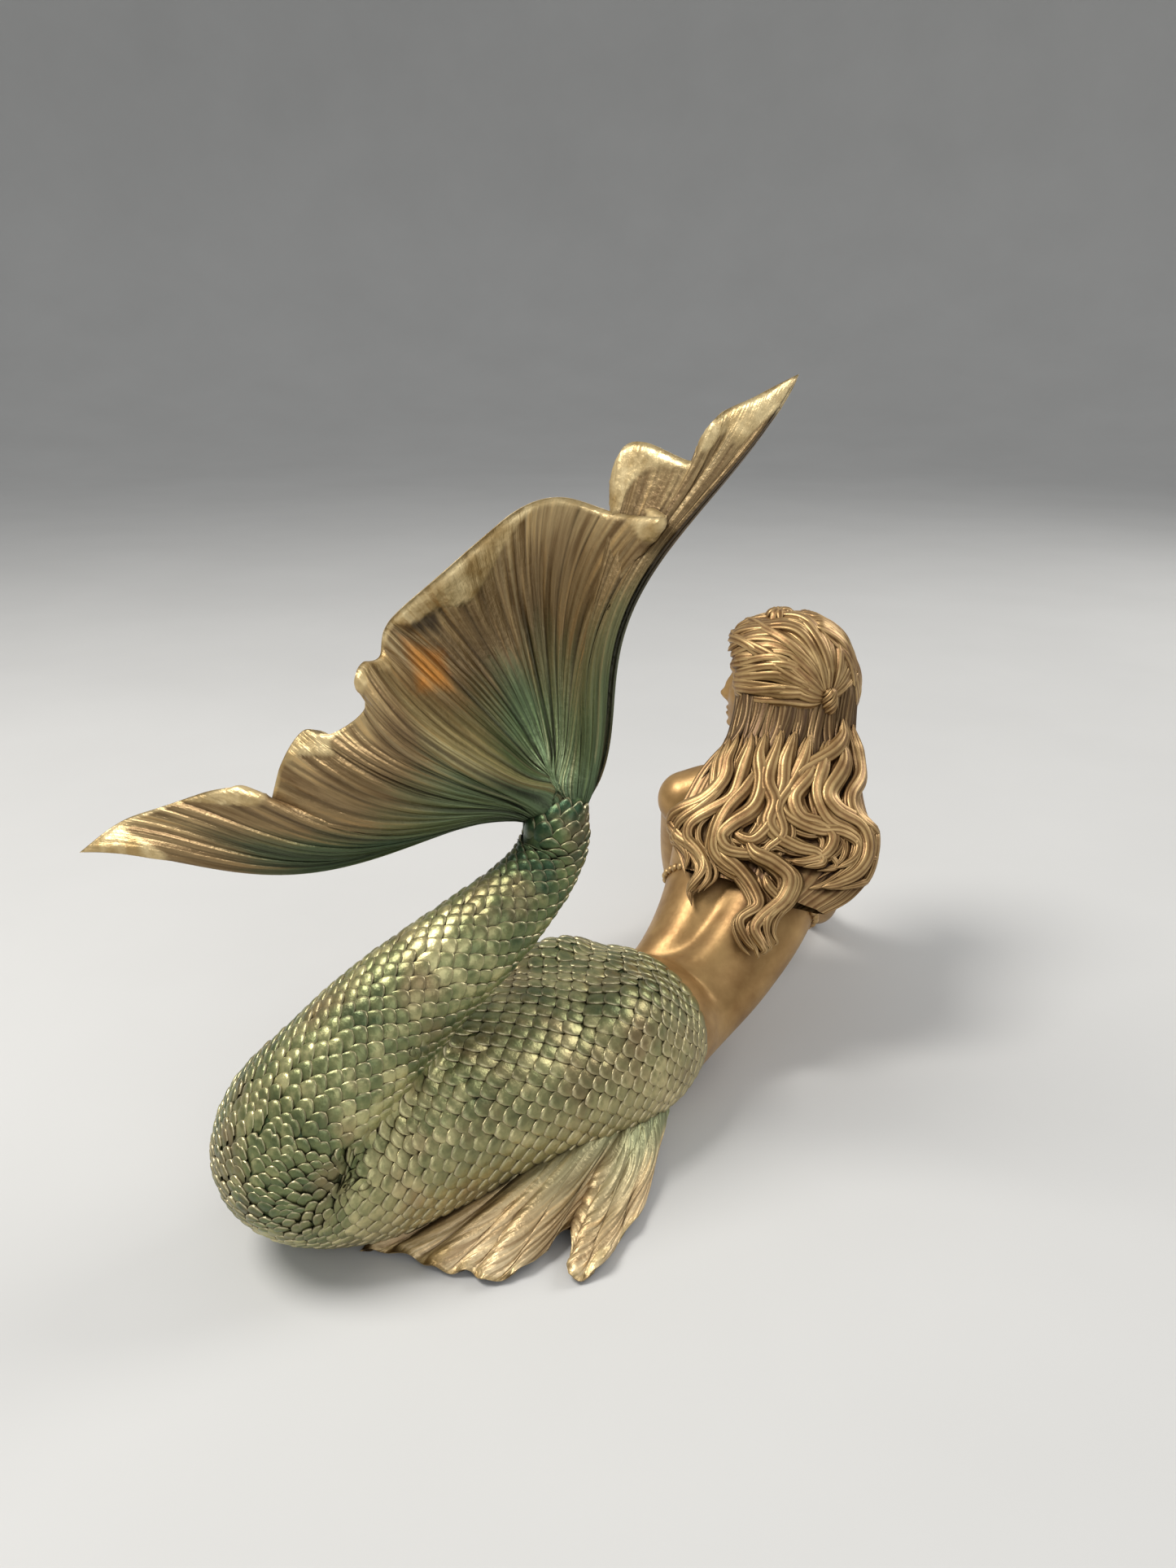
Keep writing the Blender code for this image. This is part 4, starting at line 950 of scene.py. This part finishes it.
def add_fan(bundle, grid, half, ridges, furrows, depth, lip, crumpled):
    rays, steps = grid.shape[:2]
    depth = np.reshape(depth, (-1, 1))
    normals = unit(np.cross(np.gradient(grid, axis=0), np.gradient(grid, axis=1)))
    t = np.linspace(0.0, 1.0, steps)[None, :]
    shares = np.linspace(0.0, 1.0, rays)[:, None]
    rounding = np.clip(1 - ((t - 0.965) / 0.035).clip(0, 1) ** 3, 0.12, 1)
    band = 0.022 + 0.055 * np.clip(fan_waves(shares, 0 * t, 14.0, 0.0, 6), 0, 1.5)
    for middle, spread, extra in crumpled:
        band = band + extra * gauss(shares, middle, spread)
    rim = np.clip((t - 1 + band) / 0.012, 0, 1)
    fade = np.clip(t * 2.5, 0.2, 1) * (1 - 0.8 * rim)
    furrow = np.zeros((rays, steps))
    for middle in furrows:
        furrow = np.maximum(furrow, gauss(shares, middle, 0.0026 + 0.008 * np.exp(-t / 0.15)))
    furrow = furrow * np.clip((t - 0.02) / 0.08, 0, 1) * np.clip((0.85 - t) / 0.3, 0, 1)
    relief = (ridges[:, None] - 0.6) * depth * fade - 0.7 * furrow
    crumple = np.round(fan_waves(shares, t, 24.0, 7.0, 7) * 1.5) * 0.16 * rim
    reach = (half + relief + crumple + lip * rim) * rounding
    reach[0] *= 0.4
    reach[-1] *= 0.4
    drift = normals * (fan_waves(shares, t, 10.0, 1.2, 6) * 0.15 * np.clip(1.6 * t, 0, 1))[:, :, None]
    front = grid + drift + normals * reach[:, :, None]
    back = grid + drift - normals * reach[:, :, None]
    faces = grid_faces(rays, steps)
    flat = np.ones((rays, steps))
    # The ridge mask is low in the grooves and furrows, where the fan material paints shade
    masks = {
        "along": (flat * t).ravel(),
        "share": (flat * shares).ravel(),
        "ridge": (ridges[:, None] * (1 - furrow)).ravel(),
        "rim": (flat * rim).ravel(),
    }
    start = bundle.count
    bundle.add(front.reshape(-1, 3), faces, **masks)
    bundle.add(back.reshape(-1, 3), faces[:, ::-1], **masks)
    size = rays * steps
    index = np.arange(size).reshape(rays, steps)
    border = np.concatenate([index[0, :], index[1:, -1], index[-1, -2::-1], index[-2:0:-1, 0]])
    after = np.roll(border, -1)
    seam = np.stack([border, border + size, after + size, after], axis=-1)
    bundle.faces.append(seam + start)


def half_thickness(thickness, t):
    return 0.5 * (thickness[0] + (thickness[1] - thickness[0]) * t)


# The share of the fan that each ray crosses on its way out, bent sideways in its middle
def bent_shares(shares, t, bend):
    return shares[:, None] + bend * np.sin(math.pi * shares)[:, None] * np.sin(math.pi * t)


def rows_at(rows, shares):
    return curve_at(rows, shares.ravel() * (len(rows) - 1)).reshape(*shares.shape, -1)


def fluke_piece(material):
    rays = 560
    steps = 72
    shares = np.linspace(0.0, 1.0, rays)
    flat = np.linspace(0.0, 1.0, steps)[None, :]
    bent = bent_shares(shares, flat, -0.015)
    rims = rows_at(FLUKE_RIM, bent)
    fans = rows_at(FLUKE_FAN, bent)
    bows = rows_at([[bow] for bow in FLUKE_BOW], bent)
    t = flat[:, :, None]
    arc = np.sin(math.pi * t)
    roots = np.array(FLUKE_ROOT) + FLUKE_RIGHT * FLUKE_ROOT_HALF_WIDTH * (2 * bent - 1)[:, :, None]
    ends = fans[:, :, :3]
    grid = roots + (ends - roots) * t + (rims - ends) * t ** RUFFLE_POWER
    grid = grid + arc ** 2 * (FLUKE_RIGHT * fans[:, :, 3:4] + UPWARD * fans[:, :, 4:5])
    grid = grid - FLUKE_FRONT * (bows * arc)
    roundness = np.sqrt(np.clip(1 - (2 * bent - 1) ** 2, 0, 1))
    swell = np.sin(2 * math.pi * FLUKE_RIBS * bent) * FLUKE_RIB_HEIGHT
    for across_waves, along_waves, phase, height in FLUKE_RIPPLES:
        turns = across_waves * bent + along_waves * flat + phase
        swell = swell + roundness * height * np.sin(2 * math.pi * turns)
    grid = grid + FLUKE_FRONT * (swell * flat)[:, :, None]
    half = half_thickness(FLUKE_THICKNESS, flat) + HUB_SWELL * roundness * gauss(flat, 0.0, HUB_REACH)
    bundle = Bundle()
    ridges = fan_ridges(shares, 80)
    furrows = np.linspace(0.03, 0.97, 19) + draws.uniform(-0.018, 0.018, 19)
    depth = np.interp(shares, [0.0, 0.35, 0.5, 0.62, 1.0], [0.80, 0.80, 0.5, 0.30, 0.35])
    add_fan(bundle, grid, half, ridges, furrows, depth, 0.25, FLUKE_CRUMPLED)
    make_piece("fluke", bundle.mesh("fluke"), material)


def fin_piece(name, mirrored, material):
    rays = 240
    steps = 50
    shares = np.linspace(0.0, 1.0, rays)
    flat = np.linspace(0.0, 1.0, steps)[None, :]
    bent = bent_shares(shares, flat, 0.16)
    tips = rows_at(FIN_TIPS, bent)
    spread = np.array(FIN_ROOT_HALF_SPREAD) * np.array([1.0, 1.0, -1.0])
    roots = np.array(FIN_ROOT) + spread * (2 * bent - 1)[:, :, None]
    t = flat[:, :, None]
    arc = np.sin(math.pi * t)
    grid = roots + (tips[:, :, :3] - roots) * t
    grid = grid + UPWARD * (tips[:, :, 3:4] * arc) + np.array([1.0, 0.0, 0.0]) * (tips[:, :, 4:5] * arc)
    ribs = np.sin(2 * math.pi * FIN_RIBS * bent) * FIN_RIB_HEIGHT
    grid = grid + UPWARD * (ribs * flat)[:, :, None]
    if mirrored:
        grid[:, :, 0] = 2 * FIN_MIDLINE_X - grid[:, :, 0]
    half = half_thickness(FIN_THICKNESS, flat) * np.ones((rays, 1))
    bundle = Bundle()
    ridges = fan_ridges(shares, 26)
    add_fan(bundle, grid, half, ridges, [], 0.5, 0.15, [])
    make_piece(name, bundle.mesh(name), material)


# Head and face
def axes_towards(azimuth, pitch):
    azimuth = math.radians(azimuth)
    pitch = math.radians(pitch)
    flat = np.array([math.cos(azimuth), math.sin(azimuth), 0.0])
    front = flat * math.cos(pitch) + UPWARD * math.sin(pitch)
    across = np.array([-math.sin(azimuth), math.cos(azimuth), 0.0])
    return np.array([front, across, np.cross(front, across)])


def place_on_head(local):
    return np.array(HEAD_CENTRE) + np.asarray(local) @ axes_towards(FACE_AZIMUTH, FACE_PITCH)


def place_in_hair(local):
    return np.array(HEAD_CENTRE) + np.asarray(local) @ axes_towards(HAIR_AZIMUTH, HAIR_PITCH)


def face_relief(across, height):
    total = 0.0 * across
    for middle, level, spread_across, spread_up, proud in FACE_RELIEF:
        total = total + proud * gauss(np.abs(across), middle, spread_across) * gauss(height, level, spread_up)
    return total


def head_piece(material):
    rows = smooth_rows(HEAD_SECTIONS, 12)
    angles = np.arange(168) * 2 * math.pi / 168
    cosine = np.cos(angles)[None, :]
    reach = np.where(cosine > 0, rows[:, 1:2], rows[:, 2:3])
    across = rows[:, 3:4] * np.sin(angles)[None, :]
    heights = np.broadcast_to(rows[:, 0:1], across.shape)
    forward = reach * cosine + face_relief(across, heights) * np.clip(cosine, 0, 1) ** 0.5
    bundle = Bundle()
    points = place_on_head(np.stack([forward, across, heights], axis=-1))
    bundle.add(points.reshape(-1, 3), grid_faces(len(rows), len(angles), True))
    make_piece("head", bundle.mesh("head"), material)


# Hair
# The outermost points of the hair forms in directions from the middle of the cap
def cap_point(directions, lift):
    middle = np.array(HAIR_CAP_SHIFT)
    reach = np.zeros(len(directions))
    for shift, radii in HAIR_FORMS:
        start = (middle - np.array(shift)) / radii
        step = directions / np.array(radii)
        square = np.sum(step * step, axis=1)
        slope = step @ start
        inside = slope ** 2 - square * (start @ start - 1)
        exits = (np.sqrt(np.maximum(inside, 0)) - slope) / square
        reach = np.maximum(reach, np.where(inside > 0, exits, 0))
    return place_in_hair(middle + directions * (reach + lift)[:, None])


def arc_between(start, end, t):
    angle = math.acos(np.clip(start @ end, -1, 1))
    t = t[:, None]
    return unit(np.sin((1 - t) * angle) * start + np.sin(t * angle) * end)


# A ridged strand along a path, flattened against the hair under it
def add_strand(bundle, path, outs, widths, heights, ridges=5, count=15, depth=0.15, shade=0.0):
    tangents = unit(np.gradient(path, axis=0))
    sides = unit(np.cross(tangents, outs))
    outs = np.cross(sides, tangents)
    angles = np.arange(count) * 2 * math.pi / count
    ripple = 1 + depth * np.cos(ridges * angles + math.pi * 0.5)
    across = (widths[:, None] * np.cos(angles) * ripple)[:, :, None] * sides[:, None, :]
    upward = (heights[:, None] * np.sin(angles) * ripple)[:, :, None] * outs[:, None, :]
    points = path[:, None, :] + across + upward
    # The ridge mask is one on the crests and zero in the grooves; the hair material paints shade into the
    # grooves by it
    ridge = np.broadcast_to((ripple - 1 + depth) / (2 * depth), points.shape[:2])
    bundle.add(points.reshape(-1, 3), grid_faces(len(path), count, True), ridge=ridge.ravel(), shade=shade)


def tapered(t, full, start=0.08, end=0.5):
    return full * np.clip(t / start, 0.05, 1) ** 0.6 * np.clip((1 - t) / end, 0.02, 1) ** 0.55


def cap_strand(bundle, dirs, lift, width, sway, wave, ridges=5, shade=0.0):
    t = np.linspace(0, 1, len(dirs))
    aside = unit(np.cross(dirs[0], dirs[-1]))
    swing = sway * np.sin(math.pi * t) + 0.03 * np.sin(2 * math.pi * (1.6 * t + wave))
    dirs = unit(dirs + swing[:, None] * aside)
    path = cap_point(dirs, lift + 0.25 * np.sin(2 * math.pi * (2.1 * t + wave)))
    outs = unit(path - place_in_hair(HAIR_CAP_SHIFT))
    widths = tapered(t, width, 0.06, 0.2)
    add_strand(bundle, path, outs, widths, 0.72 * widths, ridges, 3 * ridges, shade=shade)


# Degrees from the front of the head to the hairline, at turns from the brow to the temples
def hairline(turns):
    return BROW_OPENING + (TEMPLE_OPENING - BROW_OPENING) * np.abs(np.sin(turns))


def brow_direction(turn, wider=0.0):
    turn = math.radians(turn)
    opening = hairline(turn) + wider
    rim = math.sin(math.radians(opening))
    return np.array([math.cos(math.radians(opening)), rim * math.sin(turn), rim * math.cos(turn)])


# The way of a strand from the brow around the side of the head to the knot
def band_directions(turn, wider):
    side = math.radians(turn * 0.96)
    halfway = unit(np.array([-0.30, math.sin(side), math.cos(side)]))
    knot = unit(np.array(KNOT_DIRECTION))
    return unit(smooth_rows([brow_direction(turn, wider), halfway, knot], 17))


# The plain cap under the strands; it sinks beneath the forehead
def add_cap_base(bundle):
    azimuths = np.arange(96) * 2 * math.pi / 96
    polar = np.linspace(0.02, math.pi - 0.02, 48)
    dirs = np.stack([np.cos(polar)[:, None] * np.ones(96), np.sin(polar)[:, None] * np.sin(azimuths),
                     np.sin(polar)[:, None] * np.cos(azimuths)], axis=-1)
    inside = np.clip((hairline(azimuths) - np.degrees(polar)[:, None]) / HAIRLINE_SLOPE, 0, 1)
    base = cap_point(dirs.reshape(-1, 3), -0.6 - HAIRLINE_DEPTH * inside.ravel())
    # Painted shade: the plain cap is darkened, low in ridge and high in shade, as it lies under the strands
    bundle.add(base, grid_faces(48, 96, True), ridge=0.15, shade=0.6)


# The band of strands around the hairline, and the short ones that hang under its ends
def add_band(bundle, t):
    for turn in np.linspace(-BAND_LIMIT, BAND_LIMIT, 60):
        dirs = band_directions(turn + draws.uniform(-1.2, 1.2), draws.uniform(-3, 3))
        cap_strand(bundle, dirs, draws.uniform(-0.4, 0.5), draws.uniform(1.0, 1.6),
                   draws.uniform(-0.03, 0.03), draws.uniform(0, 1))
    for turn in (-BAND_LIMIT, BAND_LIMIT):
        for start in band_directions(turn, 0.0)[1::2]:
            dirs = arc_between(start, unit(start + np.array([-0.05, 0.0, -1.3])), t[::2])
            # Painted shade on the short strands that hang under the ends of the band
            cap_strand(bundle, dirs, draws.uniform(-0.8, -0.3), draws.uniform(1.1, 1.5),
                       draws.uniform(-0.03, 0.03), draws.uniform(0, 1), shade=draws.uniform(0.5, 1.0))


# Broad strands from the brow to the knot, and a sheet of strands that falls over the crown
def add_swept_strands(bundle, t, knot):
    for turn in BROW_STRAND_TURNS:
        lift = -0.9 if 30 < turn < 90 else 0.25
        cap_strand(bundle, arc_between(brow_direction(turn), knot, t), lift, BROW_STRAND_RADIUS * 0.85,
                   draws.uniform(-0.03, 0.03), draws.uniform(0, 1), 6)
    for share in np.arange(24) / 23:
        start = unit(np.array([0.30 - 0.9 * share, -0.60 + 0.80 * share, 1.0]))
        end = unit(np.array([-0.50 - 0.50 * share, -1.0 + 0.62 * share, -0.95]))
        cap_strand(bundle, arc_between(start, end, t), draws.uniform(0.2, 0.9), draws.uniform(1.4, 2.0),
                   draws.uniform(-0.05, 0.05), draws.uniform(0, 1), 6)


# Short curls on the top of the head
def add_tuft(bundle):
    t = np.linspace(0, 1, 14)
    for index in range(9):
        turn = 2 * math.pi * index / 9 + draws.uniform(-0.2, 0.2)
        lean = np.array([math.cos(turn), math.sin(turn), 0.0])
        reach = draws.uniform(4.5, 7.0)
        rise = (1.2 + 1.6 * np.sin(math.pi * np.clip(t * 1.15, 0, 1)) - 3.4 * t ** 2)[:, None] * UPWARD
        path = place_in_hair(np.array(HAIR_TUFT) + lean * reach * t[:, None] + rise)
        widths = tapered(t, draws.uniform(1.1, 1.5), 0.1, 0.5)
        add_strand(bundle, path, np.tile(UPWARD, (14, 1)), widths, widths)


# Strands wound around each other where the hair is gathered
def add_knot(bundle, knot):
    middle = cap_point(knot[None, :], 0.9)[0]
    outward = unit(middle - place_in_hair(HAIR_CAP_SHIFT))
    beside = unit(np.cross(UPWARD, outward))
    t = np.linspace(0, 1, 24)
    girth = (HAIR_KNOT_RADIUS * (0.30 + 0.55 * np.sin(math.pi * t)))[:, None]
    widths = tapered(t, 0.9, 0.12, 0.15)
    for index in range(6):
        spin = 2 * math.pi * index / 6 + 4.5 * t
        around = beside * np.cos(spin)[:, None] + outward * np.sin(spin)[:, None]
        path = middle + UPWARD * (8.0 * (0.5 - t) - 0.5)[:, None] + girth * around
        add_strand(bundle, path, unit(path - middle + outward * 0.3), widths, widths)


def add_cap_hair(bundle):
    t = np.linspace(0, 1, 34)
    knot = unit(np.array(KNOT_DIRECTION))
    add_cap_base(bundle)
    add_band(bundle, t)
    add_swept_strands(bundle, t, knot)
    add_tuft(bundle)
    add_knot(bundle, knot)


def on_hair(across, down, lift):
    last = len(HAIR_STATIONS) - 1
    places = np.minimum(down * last, last - HAIR_SLOPE_STEP)
    rows = curve_at(HAIR_STATIONS, places)
    ahead = curve_at(HAIR_STATIONS, places + HAIR_SLOPE_STEP)
    sides, outs = section_axes(ahead[:, :3] - rows[:, :3], rows[:, 5])
    outs = np.where(outs[:, 2:3] < 0, -outs, outs)
    roundness = np.sqrt(np.clip(1 - across ** 2, 0, 1))
    raised = outs * (rows[:, 4] * roundness + lift)[:, None]
    points = rows[:, :3] + sides * (rows[:, 3] * across)[:, None] + raised
    return points, unit(outs * (0.4 + roundness)[:, None] + sides * across[:, None])


def add_back_hair(bundle):
    rows = smooth_rows(HAIR_STATIONS[:HAIR_BODY_STATIONS], 8)
    rings = rings_along(rows, rows[:, 3], rows[:, 4], rows[:, 5], CURTAIN_SIDES)
    turns = np.arange(CURTAIN_SIDES) * 2 * math.pi * CURTAIN_RIBS / CURTAIN_SIDES
    ripple = 0.5 + 0.5 * np.cos(4 * turns)
    coarse = np.cos(turns)
    outs = unit(rings - rows[:, None, :3])
    rings = rings + outs * (ripple * 0.5 + coarse * 0.5 - 0.45)[None, :, None]
    ridge = np.broadcast_to(0.6 * ripple, rings.shape[:2])
    # Painted shade: darkest under the band and lighter down the back
    shade = np.interp(np.linspace(0, 6, len(rows)), [0, 0.6, 2.2, 3.2], [0.9, 1.0, 0.5, 0.25])
    shade = np.repeat(shade, CURTAIN_SIDES)
    bundle.add(rings.reshape(-1, 3), grid_faces(len(rows), CURTAIN_SIDES, True), ridge=ridge.ravel(),
               shade=shade)
    t = np.linspace(0, 1, 30)
    for across in np.linspace(-1.0, 0.90, 40):
        across = across + draws.uniform(-0.02, 0.02)
        down = draws.uniform(0.0, 0.03) + draws.uniform(0.24, 0.38) * t
        wave = 0.025 * np.sin(2 * math.pi * (1.1 * t + draws.uniform(0, 1)))
        path, outs = on_hair(np.clip(across + wave, -1.0, 1.0), down, draws.uniform(-0.5, 0.1) + 0 * t)
        widths = tapered(t, draws.uniform(0.9, 1.5), 0.1, 0.4)
        # Painted shade on the curtain strands under the band
        add_strand(bundle, path, outs, widths, 0.7 * widths, shade=draws.uniform(0.6, 1.1))


def add_locks(bundle):
    for number, (half_width, way) in enumerate(LOCKS):
        way = smooth_rows(way, 6)
        t = np.linspace(0, 1, len(way))
        for aside, drop, share, lift in LOCK_STRANDS:
            wander = 0.02 * np.sin(2 * math.pi * (1.7 * t + draws.uniform(0, 1))) if aside else 0.0
            across = np.clip(way[:, 0] + aside * (0.5 + 0.7 * t) + wander, -1.0, 1.0)
            down = np.clip(way[:, 1] + drop + 0.3 * wander, 0.02, 0.995)
            waves = 0.3 * np.sin(2 * math.pi * (1.4 * t + 0.3 * number))
            path, outs = on_hair(across, down, lift + 0.12 * (number % 4) + waves)
            full = half_width * share * np.clip(t / 0.16, 0.03, 1) ** 0.7 * (1 - LOCK_TAPER * t ** 3)
            full = full * np.clip((1 - t) / 0.05, 0.03, 1) ** 0.6
            add_strand(bundle, path, outs, full * 1.02, full * 0.85, 8, 24, 0.13)


def hair_pieces(material):
    bundle = Bundle()
    add_cap_hair(bundle)
    make_piece("hair_cap", bundle.mesh("hair_cap"), material)
    bundle = Bundle()
    add_back_hair(bundle)
    add_locks(bundle)
    make_piece("hair_locks", bundle.mesh("hair_locks"), material)


# Beads of the strap around the ribs
def strap_piece(material):
    places = np.array([STRAP_STATION - 0.05, STRAP_STATION, STRAP_STATION + 0.05])
    rows = curve_at(TORSO_STATIONS, places)
    hoop = rings_along(rows, rows[:, 3] + 0.3, rows[:, 4] + 0.3, rows[:, 5], 240)[1]
    steps = np.linalg.norm(np.diff(np.vstack([hoop, hoop[:1]]), axis=0), axis=1)
    length = np.sum(steps)
    number = round(length / (2.05 * BEAD_RADIUS))
    travelled = np.concatenate([[0], np.cumsum(steps)])
    closed = np.vstack([hoop, hoop[:1]])
    bundle = Bundle()
    polar = np.linspace(0.05, math.pi - 0.05, 9)
    turns = np.arange(14) * 2 * math.pi / 14
    ball = np.stack([np.sin(polar)[:, None] * np.cos(turns), np.sin(polar)[:, None] * np.sin(turns),
                     np.cos(polar)[:, None] * np.ones(14)], axis=-1).reshape(-1, 3)
    for index in range(number):
        spot = [np.interp(length * index / number, travelled, closed[:, axis]) for axis in range(3)]
        bundle.add(np.array(spot) + ball * BEAD_RADIUS, grid_faces(9, 14, True), ridge=1.0, shade=0.0)
    make_piece("bead_strap", bundle.mesh("bead_strap"), material)


# Studio: a round floor that sweeps up into a low wall, as radius and height in metres
FLOOR_PROFILE = [(0.0, 0.0), (0.8, 0.0), (1.4, 0.0), (1.9, 0.02), (2.3, 0.12), (2.6, 0.32), (2.75, 0.6),
                 (2.8, 1.0)]


def make_stage():
    bundle = Bundle()
    rows = smooth_rows(FLOOR_PROFILE, 8)
    angles = np.arange(128) * 2 * math.pi / 128
    rings = np.stack([rows[:, :1] * np.cos(angles), rows[:, :1] * np.sin(angles),
                      np.maximum(rows[:, 1:2], 0.0) * np.ones(len(angles))], axis=-1)
    bundle.add(rings.reshape(-1, 3) / MM - SHIFT, grid_faces(len(rows), len(angles), True)[:, ::-1])
    floor_mesh = bundle.mesh("floor")
    floor_mesh.polygons.foreach_set("use_smooth", [True] * len(floor_mesh.polygons))
    floor = bpy.data.objects.new("floor", floor_mesh)
    bpy.context.scene.collection.objects.link(floor)
    paint = Paint("pale_floor")
    colour = paint.ramp(paint.noise(6.0), [(0.3, (0.56, 0.56, 0.55)), (0.7, (0.59, 0.59, 0.58))])
    paint.feed(paint.shader.inputs["Base Color"], colour)
    paint.feed(paint.shader.inputs["Roughness"], 0.8)
    floor_mesh.materials.append(paint.material)


def add_light(name, place, target, size, energy, colour):
    light = bpy.data.lights.new(name, "AREA")
    light.shape = "DISK"
    light.size = size
    light.energy = energy
    light.color = colour
    obj = bpy.data.objects.new(name, light)
    obj.location = place
    obj.rotation_euler = (Vector(target) - Vector(place)).to_track_quat("-Z", "Y").to_euler()
    bpy.context.scene.collection.objects.link(obj)


def make_studio():
    scene = bpy.context.scene
    make_stage()
    middle = (0.0, 0.0, 0.06)
    add_light("key", (-0.30, -0.40, 0.85), middle, 0.45, 8.0, (1.0, 0.97, 0.93))
    add_light("fill", (0.9, -0.5, 0.5), middle, 0.9, 3.0, (0.95, 0.97, 1.0))
    add_light("back", (0.3, 0.9, 0.7), middle, 0.6, 5.0, (1.0, 0.98, 0.95))
    world = bpy.data.worlds.new("studio")
    world.use_nodes = True
    world.node_tree.nodes["Background"].inputs["Color"].default_value = (0.86, 0.87, 0.88, 1.0)
    world.node_tree.nodes["Background"].inputs["Strength"].default_value = 0.45
    scene.world = world
    scene.view_settings.view_transform = "Standard"
    lens = bpy.data.cameras.new("camera")
    lens.lens = 27.03
    lens.sensor_width = 36.0
    lens.clip_start = 0.01
    camera = bpy.data.objects.new("camera", lens)
    camera.location = (0.1976, -0.2102, 0.1810)
    camera.rotation_euler = (math.radians(70.0), 0.0, math.radians(44.0))
    scene.collection.objects.link(camera)
    scene.camera = camera


skin = skin_material()
hair = hair_material()
scales = scale_material()
fluke_stops = [(0.0, (0.085, 0.135, 0.062)), (0.32, (0.135, 0.175, 0.080)), (0.50, (0.20, 0.18, 0.080)),
               (0.62, (0.24, 0.165, 0.072)), (0.82, (0.31, 0.21, 0.095)), (1.0, (0.48, 0.35, 0.17))]
fin_stops = [(0.0, (0.24, 0.31, 0.16)), (0.32, (0.40, 0.43, 0.23)), (0.58, (0.58, 0.50, 0.28)),
             (0.80, (0.60, 0.44, 0.23)), (1.0, (0.74, 0.58, 0.34))]
# Patches of paint: place across, spread, place along, reach, colour, amount; the first, pale green-gold along
# the crest of the fan, is a painted highlight
fluke_patches = [
    # Painted highlight along the lit crest of the fan
    (0.375, 0.10, 0.45, 1.0, (0.52, 0.43, 0.20), 0.75),
    (0.48, 0.05, 0.92, 0.22, (0.06, 0.042, 0.024), 0.85),
    (0.435, 0.075, 0.76, 0.32, (0.62, 0.27, 0.055), 0.95),
    (0.52, 0.14, 0.30, 0.60, (0.13, 0.21, 0.10), 0.7),
    (0.05, 0.12, 0.45, 0.90, (0.045, 0.085, 0.04), 0.8),
]
fluke_paint = fan_material("fluke_patina", fluke_stops, 150.0, 0.75, fluke_patches)
fin_paint = fan_material("fin_patina", fin_stops, 60.0, 0.35, [])
upper = upper_mesh()
shrink(upper, [92.0, 96.0], [2.0, 0.0])
make_piece("upper_body", upper, skin)
tail_pieces(scales)
fluke_piece(fluke_paint)
fin_piece("right_fin", False, fin_paint)
fin_piece("left_fin", True, fin_paint)
head_piece(skin)
hair_pieces(hair)
strap_piece(hair)
make_studio()
